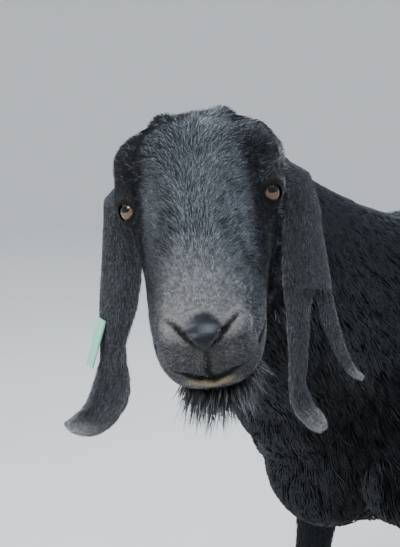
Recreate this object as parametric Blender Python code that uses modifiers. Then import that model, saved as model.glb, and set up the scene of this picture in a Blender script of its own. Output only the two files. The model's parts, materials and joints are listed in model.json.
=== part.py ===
"""A black, lop-eared, polled billy goat that stands and turns its head to its left.

Metres, +Z up. The goat faces -Y, its left side is +X, and its hooves stand on z = 0.
"""

import math

import bmesh
import bpy
import numpy as np
from mathutils import Matrix, Vector
from mathutils.bvhtree import BVHTree

GAP = 0.0003
MERGE = 0.00003
UP = Vector((0, 0, 1))
SIDES = {"left": 1, "right": -1}

# Moves the finished goat so that the origin lies under the middle of its box.
STAND_SHIFT = Vector((-0.071, 0.112, 0.0))

# Where the head is held: the point midway between the eyes, and how it is turned.
EYES_MIDDLE = Vector((0.20, -0.76, 1.00))
HEAD_TURN = math.radians(50)
HEAD_NOD = math.radians(30)
HEAD_ROLL = math.radians(8)

# Trunk, front to back: y, height of its widest point, rise above it, drop below it, half width.
TRUNK = (
    (-0.466, 0.690, 0.055, 0.078, 0.048),
    (-0.428, 0.685, 0.128, 0.142, 0.102),
    (-0.340, 0.690, 0.205, 0.198, 0.140),
    (-0.240, 0.690, 0.236, 0.212, 0.150),
    (-0.120, 0.680, 0.226, 0.216, 0.168),
    (0.040, 0.660, 0.232, 0.212, 0.192),
    (0.200, 0.680, 0.218, 0.196, 0.180),
    (0.320, 0.715, 0.206, 0.160, 0.150),
    (0.420, 0.735, 0.166, 0.130, 0.122),
    (0.485, 0.750, 0.085, 0.080, 0.070),
)

# Neck, chest to skull: x, y, z of its middle, half depth, half width.
NECK = (
    (0.000, -0.230, 0.725, 0.175, 0.118),
    (0.002, -0.350, 0.775, 0.166, 0.112),
    (0.022, -0.470, 0.840, 0.140, 0.096),
    (0.055, -0.575, 0.910, 0.114, 0.080),
    (0.095, -0.650, 0.972, 0.092, 0.068),
    (0.130, -0.702, 1.008, 0.072, 0.056),
)

# Legs, top to coronet: x, y, z, half width, half depth.
FORELEG = (
    (0.098, -0.320, 0.700, 0.048, 0.095),
    (0.106, -0.290, 0.600, 0.046, 0.084),
    (0.112, -0.268, 0.530, 0.042, 0.070),
    (0.112, -0.276, 0.450, 0.034, 0.048),
    (0.112, -0.288, 0.365, 0.027, 0.033),
    (0.112, -0.297, 0.305, 0.031, 0.036),
    (0.112, -0.291, 0.258, 0.025, 0.028),
    (0.112, -0.286, 0.185, 0.0205, 0.024),
    (0.112, -0.286, 0.115, 0.026, 0.031),
    (0.112, -0.302, 0.072, 0.026, 0.026),
    (0.112, -0.318, 0.030, 0.031, 0.031),
    (0.112, -0.324, 0.012, 0.031, 0.031),
)
HINDLEG = (
    (0.085, 0.370, 0.760, 0.050, 0.115),
    (0.098, 0.350, 0.660, 0.058, 0.125),
    (0.110, 0.318, 0.570, 0.055, 0.100),
    (0.112, 0.335, 0.490, 0.043, 0.068),
    (0.109, 0.388, 0.410, 0.031, 0.048),
    (0.106, 0.430, 0.350, 0.028, 0.043),
    (0.106, 0.432, 0.290, 0.025, 0.033),
    (0.106, 0.420, 0.200, 0.0215, 0.026),
    (0.106, 0.412, 0.122, 0.027, 0.032),
    (0.106, 0.396, 0.074, 0.026, 0.027),
    (0.106, 0.382, 0.030, 0.031, 0.031),
    (0.106, 0.376, 0.012, 0.031, 0.031),
)
TAIL = (
    (0.0, 0.450, 0.800, 0.030, 0.026),
    (0.0, 0.500, 0.835, 0.027, 0.024),
    (0.0, 0.545, 0.862, 0.030, 0.022),
    (0.0, 0.585, 0.870, 0.030, 0.018),
    (0.0, 0.622, 0.850, 0.020, 0.011),
    (0.0, 0.640, 0.825, 0.008, 0.005),
)
# Muscle and bone laid on the trunk: centre and radii; those off the middle come in pairs.
TRUNK_FORMS = {
    "shoulder_blade": ((0.096, -0.285, 0.715), (0.046, 0.095, 0.155)),
    "upper_arm": ((0.112, -0.330, 0.610), (0.040, 0.085, 0.080)),
    "throat_root": ((0.008, -0.440, 0.715), (0.078, 0.085, 0.090)),
    "brisket": ((0.0, -0.385, 0.590), (0.080, 0.076, 0.088)),
    "haunch": ((0.082, 0.345, 0.720), (0.064, 0.125, 0.120)),
    "hip_point": ((0.080, 0.275, 0.850), (0.030, 0.050, 0.030)),
    "thigh": ((0.100, 0.345, 0.610), (0.056, 0.110, 0.100)),
    "hock_point": ((0.106, 0.462, 0.368), (0.015, 0.020, 0.028)),
    "scrotum": ((0.0, 0.290, 0.490), (0.040, 0.044, 0.070)),
    "sheath": ((0.0, 0.090, 0.462), (0.022, 0.060, 0.020)),
}

# Sections of the face in the head's own frame: forward along the face, left, and up out of it.
# Station: forward, top, then left and up of the bridge edge, of the side at eye level,
# of the cheek and of the jaw's edge, and last the underside.
FACE = (
    (-0.122, 0.010, 0.014, 0.006, 0.026, -0.014, 0.024, -0.032, 0.012, -0.042, -0.044),
    (-0.100, 0.032, 0.028, 0.026, 0.050, -0.006, 0.048, -0.048, 0.022, -0.074, -0.078),
    (-0.062, 0.045, 0.040, 0.039, 0.062, 0.004, 0.059, -0.052, 0.034, -0.086, -0.091),
    (-0.022, 0.053, 0.042, 0.045, 0.063, 0.008, 0.060, -0.048, 0.034, -0.082, -0.087),
    (0.018, 0.053, 0.036, 0.044, 0.055, -0.002, 0.054, -0.044, 0.029, -0.072, -0.076),
    (0.058, 0.049, 0.029, 0.039, 0.047, -0.006, 0.047, -0.040, 0.025, -0.062, -0.066),
    (0.096, 0.042, 0.026, 0.032, 0.043, -0.008, 0.043, -0.036, 0.024, -0.056, -0.060),
    (0.128, 0.032, 0.025, 0.022, 0.041, -0.010, 0.042, -0.034, 0.025, -0.053, -0.057),
    (0.150, 0.020, 0.022, 0.012, 0.035, -0.010, 0.038, -0.032, 0.024, -0.050, -0.055),
    (0.164, 0.008, 0.017, 0.002, 0.026, -0.012, 0.029, -0.030, 0.020, -0.043, -0.047),
    (0.173, -0.006, 0.010, -0.010, 0.015, -0.017, 0.016, -0.026, 0.010, -0.032, -0.034),
)
# Forms laid on the face: centre (forward, left, up) and radii; those off the middle come in pairs.
FACE_FORMS = {
    "orbit": ((-0.013, 0.053, 0.003), (0.026, 0.021, 0.020)),
    "brow": ((-0.022, 0.049, 0.017), (0.031, 0.022, 0.013)),
    "temple": ((-0.046, 0.044, 0.016), (0.038, 0.030, 0.026)),
    "cheek": ((-0.026, 0.040, -0.048), (0.044, 0.023, 0.036)),
    "cheekbone": ((0.034, 0.040, -0.014), (0.036, 0.013, 0.012)),
    "nostril_wing": ((0.148, 0.021, 0.003), (0.017, 0.013, 0.012)),
    "upper_lip": ((0.153, 0.018, -0.012), (0.021, 0.019, 0.016)),
    "poll_bump": ((-0.066, 0.023, 0.034), (0.022, 0.020, 0.016)),
    "ear_root": ((-0.060, 0.058, 0.000), (0.022, 0.020, 0.020)),
    "forehead": ((-0.026, 0.0, 0.036), (0.050, 0.048, 0.022)),
    "nose_pad": ((0.159, 0.0, 0.003), (0.012, 0.019, 0.011)),
    "chin": ((0.143, 0.0, -0.047), (0.024, 0.024, 0.013)),
    "beard_root": ((0.122, 0.0, -0.060), (0.036, 0.024, 0.012)),
}
# The head's clay takes in the neck from this step of it on.
NECK_END = 14
NECK_LATCH = Vector((-0.094, 0.0, -0.020))
NECK_LATCH_NORMAL = Vector((0.946, 0.0, 0.325))

EYE_SPOT = Vector((0.0005, 0.0535, 0.0025))
EYE_RADIUS = 0.0145
EYE_AXIS = Vector((0.60, 0.72, 0.36)).normalized()
LID_COVER = 0.0030
LID_LENGTH = 0.0200
LID_OPENING = 0.0125
LID_RIM = 0.0018

# Grooves of the face: guide points (forward, left, up) and the radius at each.
NOSTRIL = (
    (0.174, 0.002, 0.0020, 0.0012),
    (0.169, 0.006, 0.0045, 0.0024),
    (0.162, 0.012, 0.0075, 0.0032),
    (0.156, 0.018, 0.0100, 0.0030),
    (0.149, 0.024, 0.0105, 0.0022),
    (0.143, 0.028, 0.0085, 0.0008),
)
MOUTH = (
    (0.176, 0.000, -0.0255, 0.0019),
    (0.174, 0.010, -0.0232, 0.0018),
    (0.170, 0.020, -0.0180, 0.0017),
    (0.162, 0.030, -0.0158, 0.0016),
    (0.146, 0.038, -0.0180, 0.0015),
    (0.124, 0.042, -0.0225, 0.0013),
    (0.106, 0.043, -0.0250, 0.0010),
)
PHILTRUM = (
    (0.176, 0.0, 0.001, 0.0011),
    (0.177, 0.0, -0.012, 0.0014),
    (0.177, 0.0, -0.025, 0.0016),
)

# Ears, root to tip, in the hanging frame: ahead of the eyes' middle, left of it and above it,
# for the edge by the cheek and for the outer edge, and the height of the cup between them.
EAR_THICKNESS = 0.0044
EAR_ROOM = 0.0009
EAR_ACROSS = 8
LEFT_EAR_SPLIT = 5
RIGHT_EAR = (
    (-0.036, -0.046, -0.018, -0.076, -0.048, 0.010, 0.014),
    (-0.036, -0.060, -0.016, -0.076, -0.072, 0.010, 0.017),
    (-0.042, -0.065, -0.018, -0.070, -0.087, -0.006, 0.016),
    (-0.046, -0.063, -0.027, -0.062, -0.090, -0.026, 0.014),
    (-0.044, -0.058, -0.041, -0.060, -0.092, -0.044, 0.013),
    (-0.042, -0.056, -0.060, -0.058, -0.093, -0.064, 0.013),
    (-0.040, -0.057, -0.082, -0.056, -0.095, -0.087, 0.012),
    (-0.040, -0.061, -0.104, -0.054, -0.096, -0.108, 0.011),
    (-0.040, -0.067, -0.122, -0.052, -0.096, -0.124, 0.009),
    (-0.039, -0.072, -0.138, -0.049, -0.096, -0.140, 0.006),
    (-0.036, -0.071, -0.153, -0.045, -0.096, -0.154, 0.003),
    (-0.034, -0.068, -0.168, -0.040, -0.100, -0.167, -0.001),
    (-0.030, -0.067, -0.180, -0.034, -0.103, -0.177, -0.006),
    (-0.026, -0.070, -0.191, -0.028, -0.106, -0.188, -0.008),
    (-0.022, -0.077, -0.203, -0.022, -0.110, -0.195, -0.008),
    (-0.019, -0.087, -0.214, -0.018, -0.115, -0.199, -0.007),
    (-0.017, -0.099, -0.220, -0.016, -0.120, -0.203, -0.005),
    (-0.016, -0.112, -0.220, -0.016, -0.123, -0.205, -0.003),
    (-0.016, -0.124, -0.215, -0.016, -0.128, -0.208, -0.001),
)
LEFT_EAR = (
    (-0.036, 0.046, 0.000, -0.076, 0.048, 0.024, 0.014),
    (-0.036, 0.062, 0.004, -0.076, 0.076, 0.026, 0.017),
    (-0.044, 0.074, 0.006, -0.070, 0.094, 0.016, 0.015),
    (-0.048, 0.077, -0.006, -0.060, 0.102, -0.002, 0.014),
    (-0.046, 0.076, -0.018, -0.060, 0.105, -0.015, 0.014),
    (-0.043, 0.075, -0.032, -0.059, 0.107, -0.032, 0.014),
    (-0.041, 0.073, -0.047, -0.058, 0.111, -0.049, 0.014),
    (-0.040, 0.073, -0.063, -0.057, 0.114, -0.065, 0.013),
    (-0.039, 0.074, -0.078, -0.056, 0.117, -0.080, 0.011),
)
LEFT_EAR_FRONT = (
    (-0.038, 0.076, -0.091, -0.047, 0.099, -0.092, 0.008),
    (-0.038, 0.078, -0.105, -0.046, 0.098, -0.107, 0.007),
    (-0.037, 0.079, -0.121, -0.045, 0.098, -0.123, 0.006),
    (-0.036, 0.080, -0.138, -0.043, 0.097, -0.139, 0.005),
    (-0.034, 0.081, -0.154, -0.040, 0.097, -0.155, 0.003),
    (-0.032, 0.081, -0.170, -0.036, 0.096, -0.169, -0.001),
    (-0.029, 0.082, -0.183, -0.032, 0.099, -0.179, -0.004),
    (-0.026, 0.086, -0.195, -0.028, 0.104, -0.188, -0.005),
    (-0.024, 0.093, -0.204, -0.025, 0.110, -0.194, -0.005),
    (-0.023, 0.101, -0.211, -0.023, 0.115, -0.202, -0.004),
    (-0.022, 0.110, -0.215, -0.022, 0.117, -0.210, -0.002),
)
LEFT_EAR_BACK = (
    (-0.051, 0.105, -0.092, -0.056, 0.119, -0.092, 0.004),
    (-0.051, 0.109, -0.107, -0.056, 0.122, -0.106, 0.004),
    (-0.050, 0.113, -0.120, -0.055, 0.126, -0.119, 0.004),
    (-0.049, 0.118, -0.133, -0.053, 0.130, -0.132, 0.003),
    (-0.047, 0.123, -0.144, -0.051, 0.133, -0.142, 0.003),
    (-0.046, 0.129, -0.154, -0.048, 0.138, -0.151, 0.002),
    (-0.044, 0.135, -0.163, -0.045, 0.142, -0.158, 0.001),
    (-0.042, 0.142, -0.168, -0.043, 0.148, -0.163, 0.001),
    (-0.041, 0.149, -0.170, -0.041, 0.152, -0.167, 0.000),
)

# Feet: middle of each foot on the floor, and the fetlock's back, where the dewclaws grow.
CORONET = 0.040
CORONET_SLOPE = 0.32
TOE = {"length": 0.068, "width": 0.029, "cleft": 0.0035, "lean": 0.42}
FEET = {"fore": (0.112, -0.333), "hind": (0.106, 0.367)}
DEWCLAWS = {"fore": (0.112, -0.264, 0.098), "hind": (0.106, 0.435, 0.105)}
DEWCLAW_SIZE = (0.0065, 0.0080, 0.0110)
DEWCLAW_SPREAD = 0.0125

# Ear tag: where it hangs on the outer edge of the right ear, in the hanging frame.
TAG_PIN = (-0.044, -0.090, -0.120)
TAG_FOOT = (-0.040, -0.101, -0.160)
TAG_OUTWARDS = (0.587, -0.810)
TAG_WIDTH = 0.013
TAG_THICKNESS = 0.0016
TAG_ABOVE_PIN = 0.0045
TAG_OFF_EAR = 0.0060
TAG_PIN_RADIUS = 0.0020
TAG_BUTTON_RADIUS = 0.0045
TAG_BUTTON_DEPTH = 0.0064
TAG_HOLE = 0.0004

# Locks of the long coat: spacing, length, width, how far the tip stands off, how deep the
# root is sunk, and the seed.
LOCKS = {
    "neck": (0.080, 0.135, 0.058, 0.017, 0.009, 3),
    "trunk": (0.112, 0.170, 0.084, 0.016, 0.009, 5),
    "crown": (0.026, 0.038, 0.019, 0.006, 0.007, 87),
    "beard": (0.0155, 0.034, 0.018, 0.010, 0.009, 91),
    "tail": (0.030, 0.055, 0.022, 0.007, 0.004, 13),
}
LOCK_LEAST_STEP = 0.6
LOCK_SHAPE = ((0.0, 0.55), (0.25, 1.0), (0.52, 0.85), (0.78, 0.50))

# Colour, roughness and metallic value by the start of a node's name; the last is for hair.
LOOKS = {
    "eye": ((0.30, 0.16, 0.06), 0.15, 0.0),
    "hoof": ((0.045, 0.040, 0.036), 0.55, 0.0),
    "dewclaw": ((0.045, 0.040, 0.036), 0.55, 0.0),
    "ear_tag": ((0.25, 0.60, 0.45), 0.40, 0.0),
    "": ((0.012, 0.014, 0.018), 0.60, 0.0),
}

# Cut planes that part the trunk from the neck and the tail: point and normal.
NECK_CUT = (Vector((0.0, -0.445, 0.80)), Vector((0.05, -0.88, 0.47)))
TAIL_CUT = (Vector((0.0, 0.522, 0.85)), Vector((0.0, 1.0, 0.35)))
# Boxes that part the legs: front, back, height of the cut, its slopes along x and y, its middle.
LEG_BOX = {
    "fore": (-0.46, -0.12, 0.520, 0.80, 0.0, (0.112, -0.28)),
    "hind": (0.16, 0.60, 0.545, 0.35, 0.30, (0.106, 0.33)),
}
LEG_BOX_INNER = 0.045
LEG_BOX_OUTER = 0.25


def hanging_axes():
    """Level directions ahead of the head and to its left, which hanging ears go by."""
    ahead = Vector((math.sin(HEAD_TURN), -math.cos(HEAD_TURN), 0))
    left = Vector((math.cos(HEAD_TURN), math.sin(HEAD_TURN), 0))
    return ahead, left


def ramp(value, low, high):
    """Goes smoothly from 0 to 1 as the value goes from low to high."""
    share = min(1.0, max(0.0, (value - low) / (high - low)))
    return share * share * (3 - 2 * share)


def body_lie(spot, normal):
    """Which way the hair of the trunk, neck and tail points: back, and down at both ends."""
    front = ramp(-spot.y, 0.18, 0.42)
    rear = ramp(spot.y, 0.20, 0.42)
    back = 1.0 - 0.55 * front - 0.65 * rear
    down = 0.30 + 0.75 * front + 0.80 * rear
    lie = Vector((0.25 * normal.x, back, -down))
    return (lie - normal * lie.dot(normal)).normalized()


def beard_lie(spot, normal):
    """The beard hangs down off the jaw and a little back."""
    return (UP * -1 + hanging_axes()[0] * -0.15).normalized()


def crown_lie(spot, normal):
    """The forelock fans up and back over the crown."""
    local = head_matrix().inverted() @ spot
    lie = head_matrix().to_3x3() @ Vector((-1.0, local.y * 12, 0.15))
    return (lie - normal * lie.dot(normal)).normalized()


def hanging(ahead_of, left_of, above):
    ahead, left = hanging_axes()
    return EYES_MIDDLE + ahead * ahead_of + left * left_of + UP * above


def head_matrix():
    """Turns (forward, left, up) in the head's frame into the goat's frame."""
    ahead, left = hanging_axes()
    forward = ahead * math.cos(HEAD_NOD) - UP * math.sin(HEAD_NOD)
    roll = Matrix.Rotation(HEAD_ROLL, 3, ahead)
    axes = [roll @ forward, roll @ left, roll @ forward.cross(left)]
    matrix = Matrix(axes).transposed().to_4x4()
    matrix.translation = EYES_MIDDLE
    return matrix


def clear_scene():
    for obj in list(bpy.data.objects):
        bpy.data.objects.remove(obj)


def dressed(obj):
    """Gives an object the material of its kind, smooth shading and the goat's collection."""
    for kind, (colour, roughness, metallic) in LOOKS.items():
        if obj.name.startswith(kind):
            break
    material = bpy.data.materials.new(obj.name)
    material.use_nodes = True
    surface = material.node_tree.nodes["Principled BSDF"]
    surface.inputs["Base Color"].default_value = (*colour, 1)
    surface.inputs["Roughness"].default_value = roughness
    surface.inputs["Metallic"].default_value = metallic
    obj.data.materials.clear()
    obj.data.materials.append(material)
    obj.data.shade_smooth()
    obj.data.set_sharp_from_angle(angle=math.radians(50))
    goat = bpy.data.collections.get("goat") or bpy.data.collections.new("goat")
    if goat.name not in bpy.context.scene.collection.children:
        bpy.context.scene.collection.children.link(goat)
    goat.objects.link(obj)
    bpy.context.scene.collection.objects.unlink(obj)


def through(rows, count):
    """Reads a table at even steps along a smooth curve through its rows."""
    rows = np.array(rows, float)
    padded = np.vstack([2 * rows[0] - rows[1], rows, 2 * rows[-1] - rows[-2]])
    read = []
    for spot in np.linspace(0, len(rows) - 1, count):
        index = min(int(spot), len(rows) - 2)
        read.append(bent(padded[index : index + 4], spot - index))
    return np.array(read)


def bent(marks, t):
    """The point between the middle two of four marks on the smooth curve through them."""
    a, b, c, d = marks
    bend = (2 * a - 5 * b + 4 * c - d) * t**2 + (3 * b - a - 3 * c + d) * t**3
    return 0.5 * (2 * b + (c - a) * t + bend)


def ring_through(marks, around):
    """Points at even steps along a smooth closed curve through the marks."""
    marks = np.array(marks, float)
    points = []
    for spot in np.arange(around) * len(marks) / around:
        near = marks[(int(spot) + np.arange(-1, 3)) % len(marks)]
        points.append(bent(near, spot - int(spot)))
    return points


def new_object(name, mesh, matrix=None):
    if matrix is not None:
        mesh.transform(matrix)
    made = bpy.data.objects.new(name, mesh)
    bpy.context.scene.collection.objects.link(made)
    return made


def from_bmesh(name, shape, matrix=None):
    """Turns a bmesh into an object of triangles with every face outwards."""
    bmesh.ops.triangulate(shape, faces=shape.faces)
    bmesh.ops.recalc_face_normals(shape, faces=shape.faces)
    if shape.calc_volume(signed=True) < 0:
        bmesh.ops.reverse_faces(shape, faces=shape.faces)
    mesh = bpy.data.meshes.new(name)
    shape.to_mesh(mesh)
    shape.free()
    return new_object(name, mesh, matrix)


def loft(name, rings, matrix=None):
    """A closed skin over rings of points, with a flat cap at each end."""
    shape = bmesh.new()
    made = [[shape.verts.new(point) for point in ring] for ring in rings]
    around = len(rings[0])
    for low, high in zip(made, made[1:]):
        for k in range(around):
            after = (k + 1) % around
            shape.faces.new((low[k], low[after], high[after], high[k]))
    shape.faces.new(made[0])
    shape.faces.new(made[-1])
    return from_bmesh(name, shape, matrix)


def oval(middle, across, over, half_across, rise, drop, around):
    """An oval ring with its own rise and drop about its middle."""
    ring = []
    for k in range(around):
        angle = 2 * math.pi * k / around
        height = rise if math.sin(angle) > 0 else drop
        reach = across * half_across * math.cos(angle)
        ring.append(middle + reach + over * height * math.sin(angle))
    return ring


def ball(name, middle, radii, matrix=None, segments=24, rings=14):
    shape = bmesh.new()
    bmesh.ops.create_uvsphere(shape, u_segments=segments, v_segments=rings, radius=1)
    place = Matrix.Translation(middle) @ Matrix.Diagonal((*radii, 1))
    bmesh.ops.transform(shape, matrix=place, verts=shape.verts)
    return from_bmesh(name, shape, matrix)


def balls(forms, across, matrix=None):
    """The named forms of a table; a form off the middle line is made on both sides."""
    made = []
    for name, (middle, radii) in forms.items():
        for side in SIDES.values() if middle[across] else (1,):
            spot = list(middle)
            spot[across] *= side
            made.append(ball(name, spot, radii, matrix))
    return made


def as_mesh(obj, name):
    """Replaces an object by its evaluated mesh, with its modifiers applied."""
    graph = bpy.context.evaluated_depsgraph_get()
    mesh = bpy.data.meshes.new_from_object(obj.evaluated_get(graph))
    bpy.data.objects.remove(obj)
    return new_object(name, mesh)


def kneaded(name, pieces, grain, smoothing):
    """Runs pieces together into one soft form, as clay."""
    shape = bmesh.new()
    for piece in pieces:
        shape.from_mesh(piece.data)
        bpy.data.objects.remove(piece)
    mesh = bpy.data.meshes.new("clay")
    shape.to_mesh(mesh)
    shape.free()
    clay = new_object("clay", mesh)
    remesh = clay.modifiers.new("Knead", "REMESH")
    remesh.mode = "VOXEL"
    remesh.voxel_size = grain
    smooth = clay.modifiers.new("Smooth", "SMOOTH")
    smooth.factor = 0.5
    smooth.iterations = smoothing
    return as_mesh(clay, name)


def thinned(obj, triangles):
    """Leaves about that many triangles."""
    name = obj.name
    now = sum(len(face.vertices) - 2 for face in obj.data.polygons)
    thin = obj.modifiers.new("Thin", "DECIMATE")
    thin.ratio = min(1.0, triangles / now)
    thin.use_collapse_triangulate = True
    obj.name = "thinned"
    return as_mesh(obj, name)


def boolean(obj, others, operation, solver="EXACT"):
    """Applies one Boolean with all the other objects at once, and removes those."""
    name = obj.name
    tools = bpy.data.collections.new("tools")
    bpy.context.scene.collection.children.link(tools)
    for tool in others:
        bpy.context.scene.collection.objects.unlink(tool)
        tools.objects.link(tool)
    step = obj.modifiers.new(operation, "BOOLEAN")
    step.operation = operation
    step.solver = solver
    step.operand_type = "COLLECTION"
    step.collection = tools
    obj.name = "before"
    made = as_mesh(obj, name)
    for tool in others:
        bpy.data.objects.remove(tool)
    bpy.data.collections.remove(tools)
    return made


def half_space(point, normal, size=3.0):
    """A large box on the side of the plane that its normal points to."""
    turn = normal.to_track_quat("Z", "X").to_matrix().to_4x4()
    place = Matrix.Translation(point) @ turn @ Matrix.Translation((0, 0, size / 2))
    shape = bmesh.new()
    bmesh.ops.create_cube(shape, size=size)
    return from_bmesh("half_space", shape, place)


def trimmed(obj, point, normal, solver="MANIFOLD"):
    """Keeps what lies past a plane, half the gap away from it."""
    normal = normal.normalized()
    past = half_space(point + normal * GAP / 2, normal)
    return largest(boolean(obj, [past], "INTERSECT", solver))


def parted(obj, name, point, normal):
    """Cuts an object in two at a plane. Returns what lies short of it and what lies past."""
    past = new_object(name, obj.data.copy())
    return trimmed(obj, point, -normal), trimmed(past, point, normal)


def largest(obj):
    """Keeps only the largest closed surface of an object, with points that all but meet made one."""
    shape = bmesh.new()
    shape.from_mesh(obj.data)
    bmesh.ops.remove_doubles(shape, verts=shape.verts, dist=MERGE)
    bmesh.ops.dissolve_degenerate(shape, edges=shape.edges, dist=MERGE)
    bmesh.ops.triangulate(shape, faces=shape.faces)
    seen, groups = set(), []
    for start in shape.faces:
        if start in seen:
            continue
        seen.add(start)
        group, stack = [], [start]
        while stack:
            face = stack.pop()
            group.append(face)
            near = {other for edge in face.edges for other in edge.link_faces} - seen
            stack.extend(near)
            seen |= near
        groups.append(group)

    def volume(group):
        corners = [[vertex.co for vertex in face.verts] for face in group]
        return sum(a.dot(b.cross(c)) / 6 for a, b, c in corners)

    groups.sort(key=volume)
    extra = [face for group in groups[:-1] for face in group]
    bmesh.ops.delete(shape, geom=extra, context="FACES")
    shape.to_mesh(obj.data)
    shape.free()
    return obj


def tube(name, points, radii, sides=6):
    """A closed wire along points, with its own radius at each."""
    rings = []
    across = (points[1] - points[0]).orthogonal()
    for index, (point, radius) in enumerate(zip(points, radii)):
        before, after = points[max(index - 1, 0)], points[min(index + 1, len(points) - 1)]
        along = (after - before).normalized()
        across = (across - along * across.dot(along)).normalized()
        rings.append(oval(point, across, along.cross(across), radius, radius, radius, sides))
    return loft(name, rings)


def along_rings(rows, around, across_of):
    """Ovals square to a path whose rows hold x, y, z, half depth and half width."""
    rings = []
    for index, row in enumerate(rows):
        before, after = rows[max(index - 1, 0)], rows[min(index + 1, len(rows) - 1)]
        along = Vector(after[:3] - before[:3]).normalized()
        across = across_of(along)
        over = along.cross(across)
        rings.append(oval(Vector(row[:3]), across, over, row[4], row[3], row[3], around))
    return rings


def trunk(steps=40, around=32):
    rings = []
    for y, middle, rise, drop, half in through(TRUNK, steps):
        rings.append(oval(Vector((0, y, middle)), Vector((1, 0, 0)), UP, half, rise, drop, around))
    return loft("trunk", rings)


def neck(first=0, steps=24, around=28):
    rows = through(NECK, steps)[first:]
    return loft("neck", along_rings(rows, around, lambda along: UP.cross(along).normalized()))


def leg(table, side, steps=44, around=18):
    rings = []
    across, over = Vector((1, 0, 0)), Vector((0, 1, 0))
    for x, y, z, half, depth in through(table, steps):
        rings.append(oval(Vector((x * side, y, z)), across, over, half, depth, depth, around))
    return loft("leg", rings)


def tail(steps=14, around=12):
    rows = through([(x, y, z, depth, half) for x, y, z, half, depth in TAIL], steps)
    return loft("tail", along_rings(rows, around, lambda along: Vector((1, 0, 0))))


def face(steps=44, around=40):
    """The skull and muzzle: a smooth ring through the marks of each section."""
    rings = []
    for row in through(FACE, steps):
        left = [(row[k], row[k + 1]) for k in (2, 4, 6, 8)]
        right = [(-across, up) for across, up in reversed(left)]
        marks = [(0, row[1]), *left, (0, row[10]), *right]
        rings.append([Vector((row[0], l, u)) for l, u in ring_through(marks, around)])
    return loft("face", rings, head_matrix())


def skull_clay():
    """The face and the forms that are laid on it."""
    return [face()] + balls(FACE_FORMS, 1, head_matrix())


def eye_place(side):
    """The eye's own frame: along the lids, over them, and out of the head."""
    out = Vector((EYE_AXIS.x, EYE_AXIS.y * side, EYE_AXIS.z))
    along = Vector((1, 0, 0.75)) * side
    along = (along - out * along.dot(out)).normalized()
    turn = Matrix((along, out.cross(along), out)).transposed().to_4x4()
    middle = Vector((EYE_SPOT.x, EYE_SPOT.y * side, EYE_SPOT.z))
    return head_matrix() @ Matrix.Translation(middle) @ turn


def lid_curve(angle, lid, spread):
    """A point of the almond between the lids, seen along the eye's axis."""
    x = math.cos(angle) * (LID_LENGTH / 2 + spread)
    y = lid * math.sin(angle) ** 1.3 * (LID_OPENING / 2 + spread)
    return x, y


def lid_opening(side):
    """The almond between the lids, pushed right through them."""
    angles = [math.pi * k / 8 for k in range(9)]
    almond = [lid_curve(angle, 1, 0) for angle in angles]
    almond += [lid_curve(angle, -1, 0) for angle in reversed(angles[1:-1])]
    rings = [[Vector((x, y, depth)) for x, y in almond] for depth in (0.002, 0.05)]
    return loft("lid_opening", rings, eye_place(side))


def lid_rims(side):
    """The swollen edges of the upper and the lower lid."""
    rims = []
    for lid in (1, -1):
        points, radii = [], []
        for k in range(9):
            angle = math.pi * k / 8
            x, y = lid_curve(angle, lid, LID_RIM * 0.5)
            depth = math.sqrt((EYE_RADIUS + LID_RIM * 0.7) ** 2 - x * x - y * y)
            points.append(eye_place(side) @ Vector((x, y, depth)))
            radii.append(LID_RIM * (0.5 + 0.5 * math.sin(angle)))
        rims.append(tube("lid_rim", points, radii))
    return rims


def eyeball(name, side, grown=0.0):
    return ball(name, (0, 0, 0), (EYE_RADIUS + grown,) * 3, eye_place(side), 16, 9)


def groove(surface, guide, side, steps=10):
    """A cutter along guide points that are laid on a surface."""
    rows = through(guide, steps)
    points = []
    for row in rows:
        spot = head_matrix() @ Vector((row[0], row[1] * side, row[2]))
        points.append(surface.closest_point_on_mesh(spot)[1])
    return tube("groove", points, [row[3] for row in rows])


def ear_row(row, before, after, side, spots):
    """Points across one row of an ear, from the edge by the cheek to the outer edge."""
    inner, outer = hanging(*row[:3]), hanging(*row[3:6])
    ahead = hanging(*after[:3]) + hanging(*after[3:6])
    along = ahead - hanging(*before[:3]) - hanging(*before[3:6])
    across = (outer - inner).normalized()
    cup = along.cross(across).normalized() * side
    points = []
    for spot in spots:
        bow = (1 - (2 * spot - 1) ** 2) * row[6]
        points.append(inner.lerp(outer, spot) + cup * bow)
    return points


def ear_rows(shape, rows, fineness, strips, side):
    """Lays the rows of an ear as new points of a sheet."""
    table = through(rows, (len(rows) - 1) * fineness + 1)
    spots = np.linspace(0, 1, strips + 1)
    made = []
    for index, row in enumerate(table):
        before, after = table[max(index - 1, 0)], table[min(index + 1, len(table) - 1)]
        points = ear_row(row, before, after, side, spots)
        made.append([shape.verts.new(point) for point in points])
    return made


def ear(name, side, top, lobes, fineness=1, thickness=EAR_THICKNESS):
    """A cupped sheet from the root to its tips, thickened into a closed body.

    A lobe holds the first and the last strip of the sheet that run on into it, and its rows.
    """
    shape = bmesh.new()
    upper = ear_rows(shape, top, fineness, EAR_ACROSS, side)
    sheets = [upper]
    for first, last, rows in lobes:
        lobe = ear_rows(shape, rows, fineness, last - first, side)
        sheets.append([upper[-1][first : last + 1]] + lobe)
    for sheet in sheets:
        for low, high in zip(sheet, sheet[1:]):
            for k in range(len(low) - 1):
                shape.faces.new((low[k], low[k + 1], high[k + 1], high[k]))
    bmesh.ops.recalc_face_normals(shape, faces=shape.faces)
    mesh = bpy.data.meshes.new("sheet")
    shape.to_mesh(mesh)
    shape.free()
    sheet = new_object("sheet", mesh)
    thicken = sheet.modifiers.new("Thicken", "SOLIDIFY")
    thicken.thickness = thickness
    thicken.offset = 0
    made = as_mesh(sheet, "thick")
    shape = bmesh.new()
    shape.from_mesh(made.data)
    bpy.data.objects.remove(made)
    return from_bmesh(name, shape)


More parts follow.
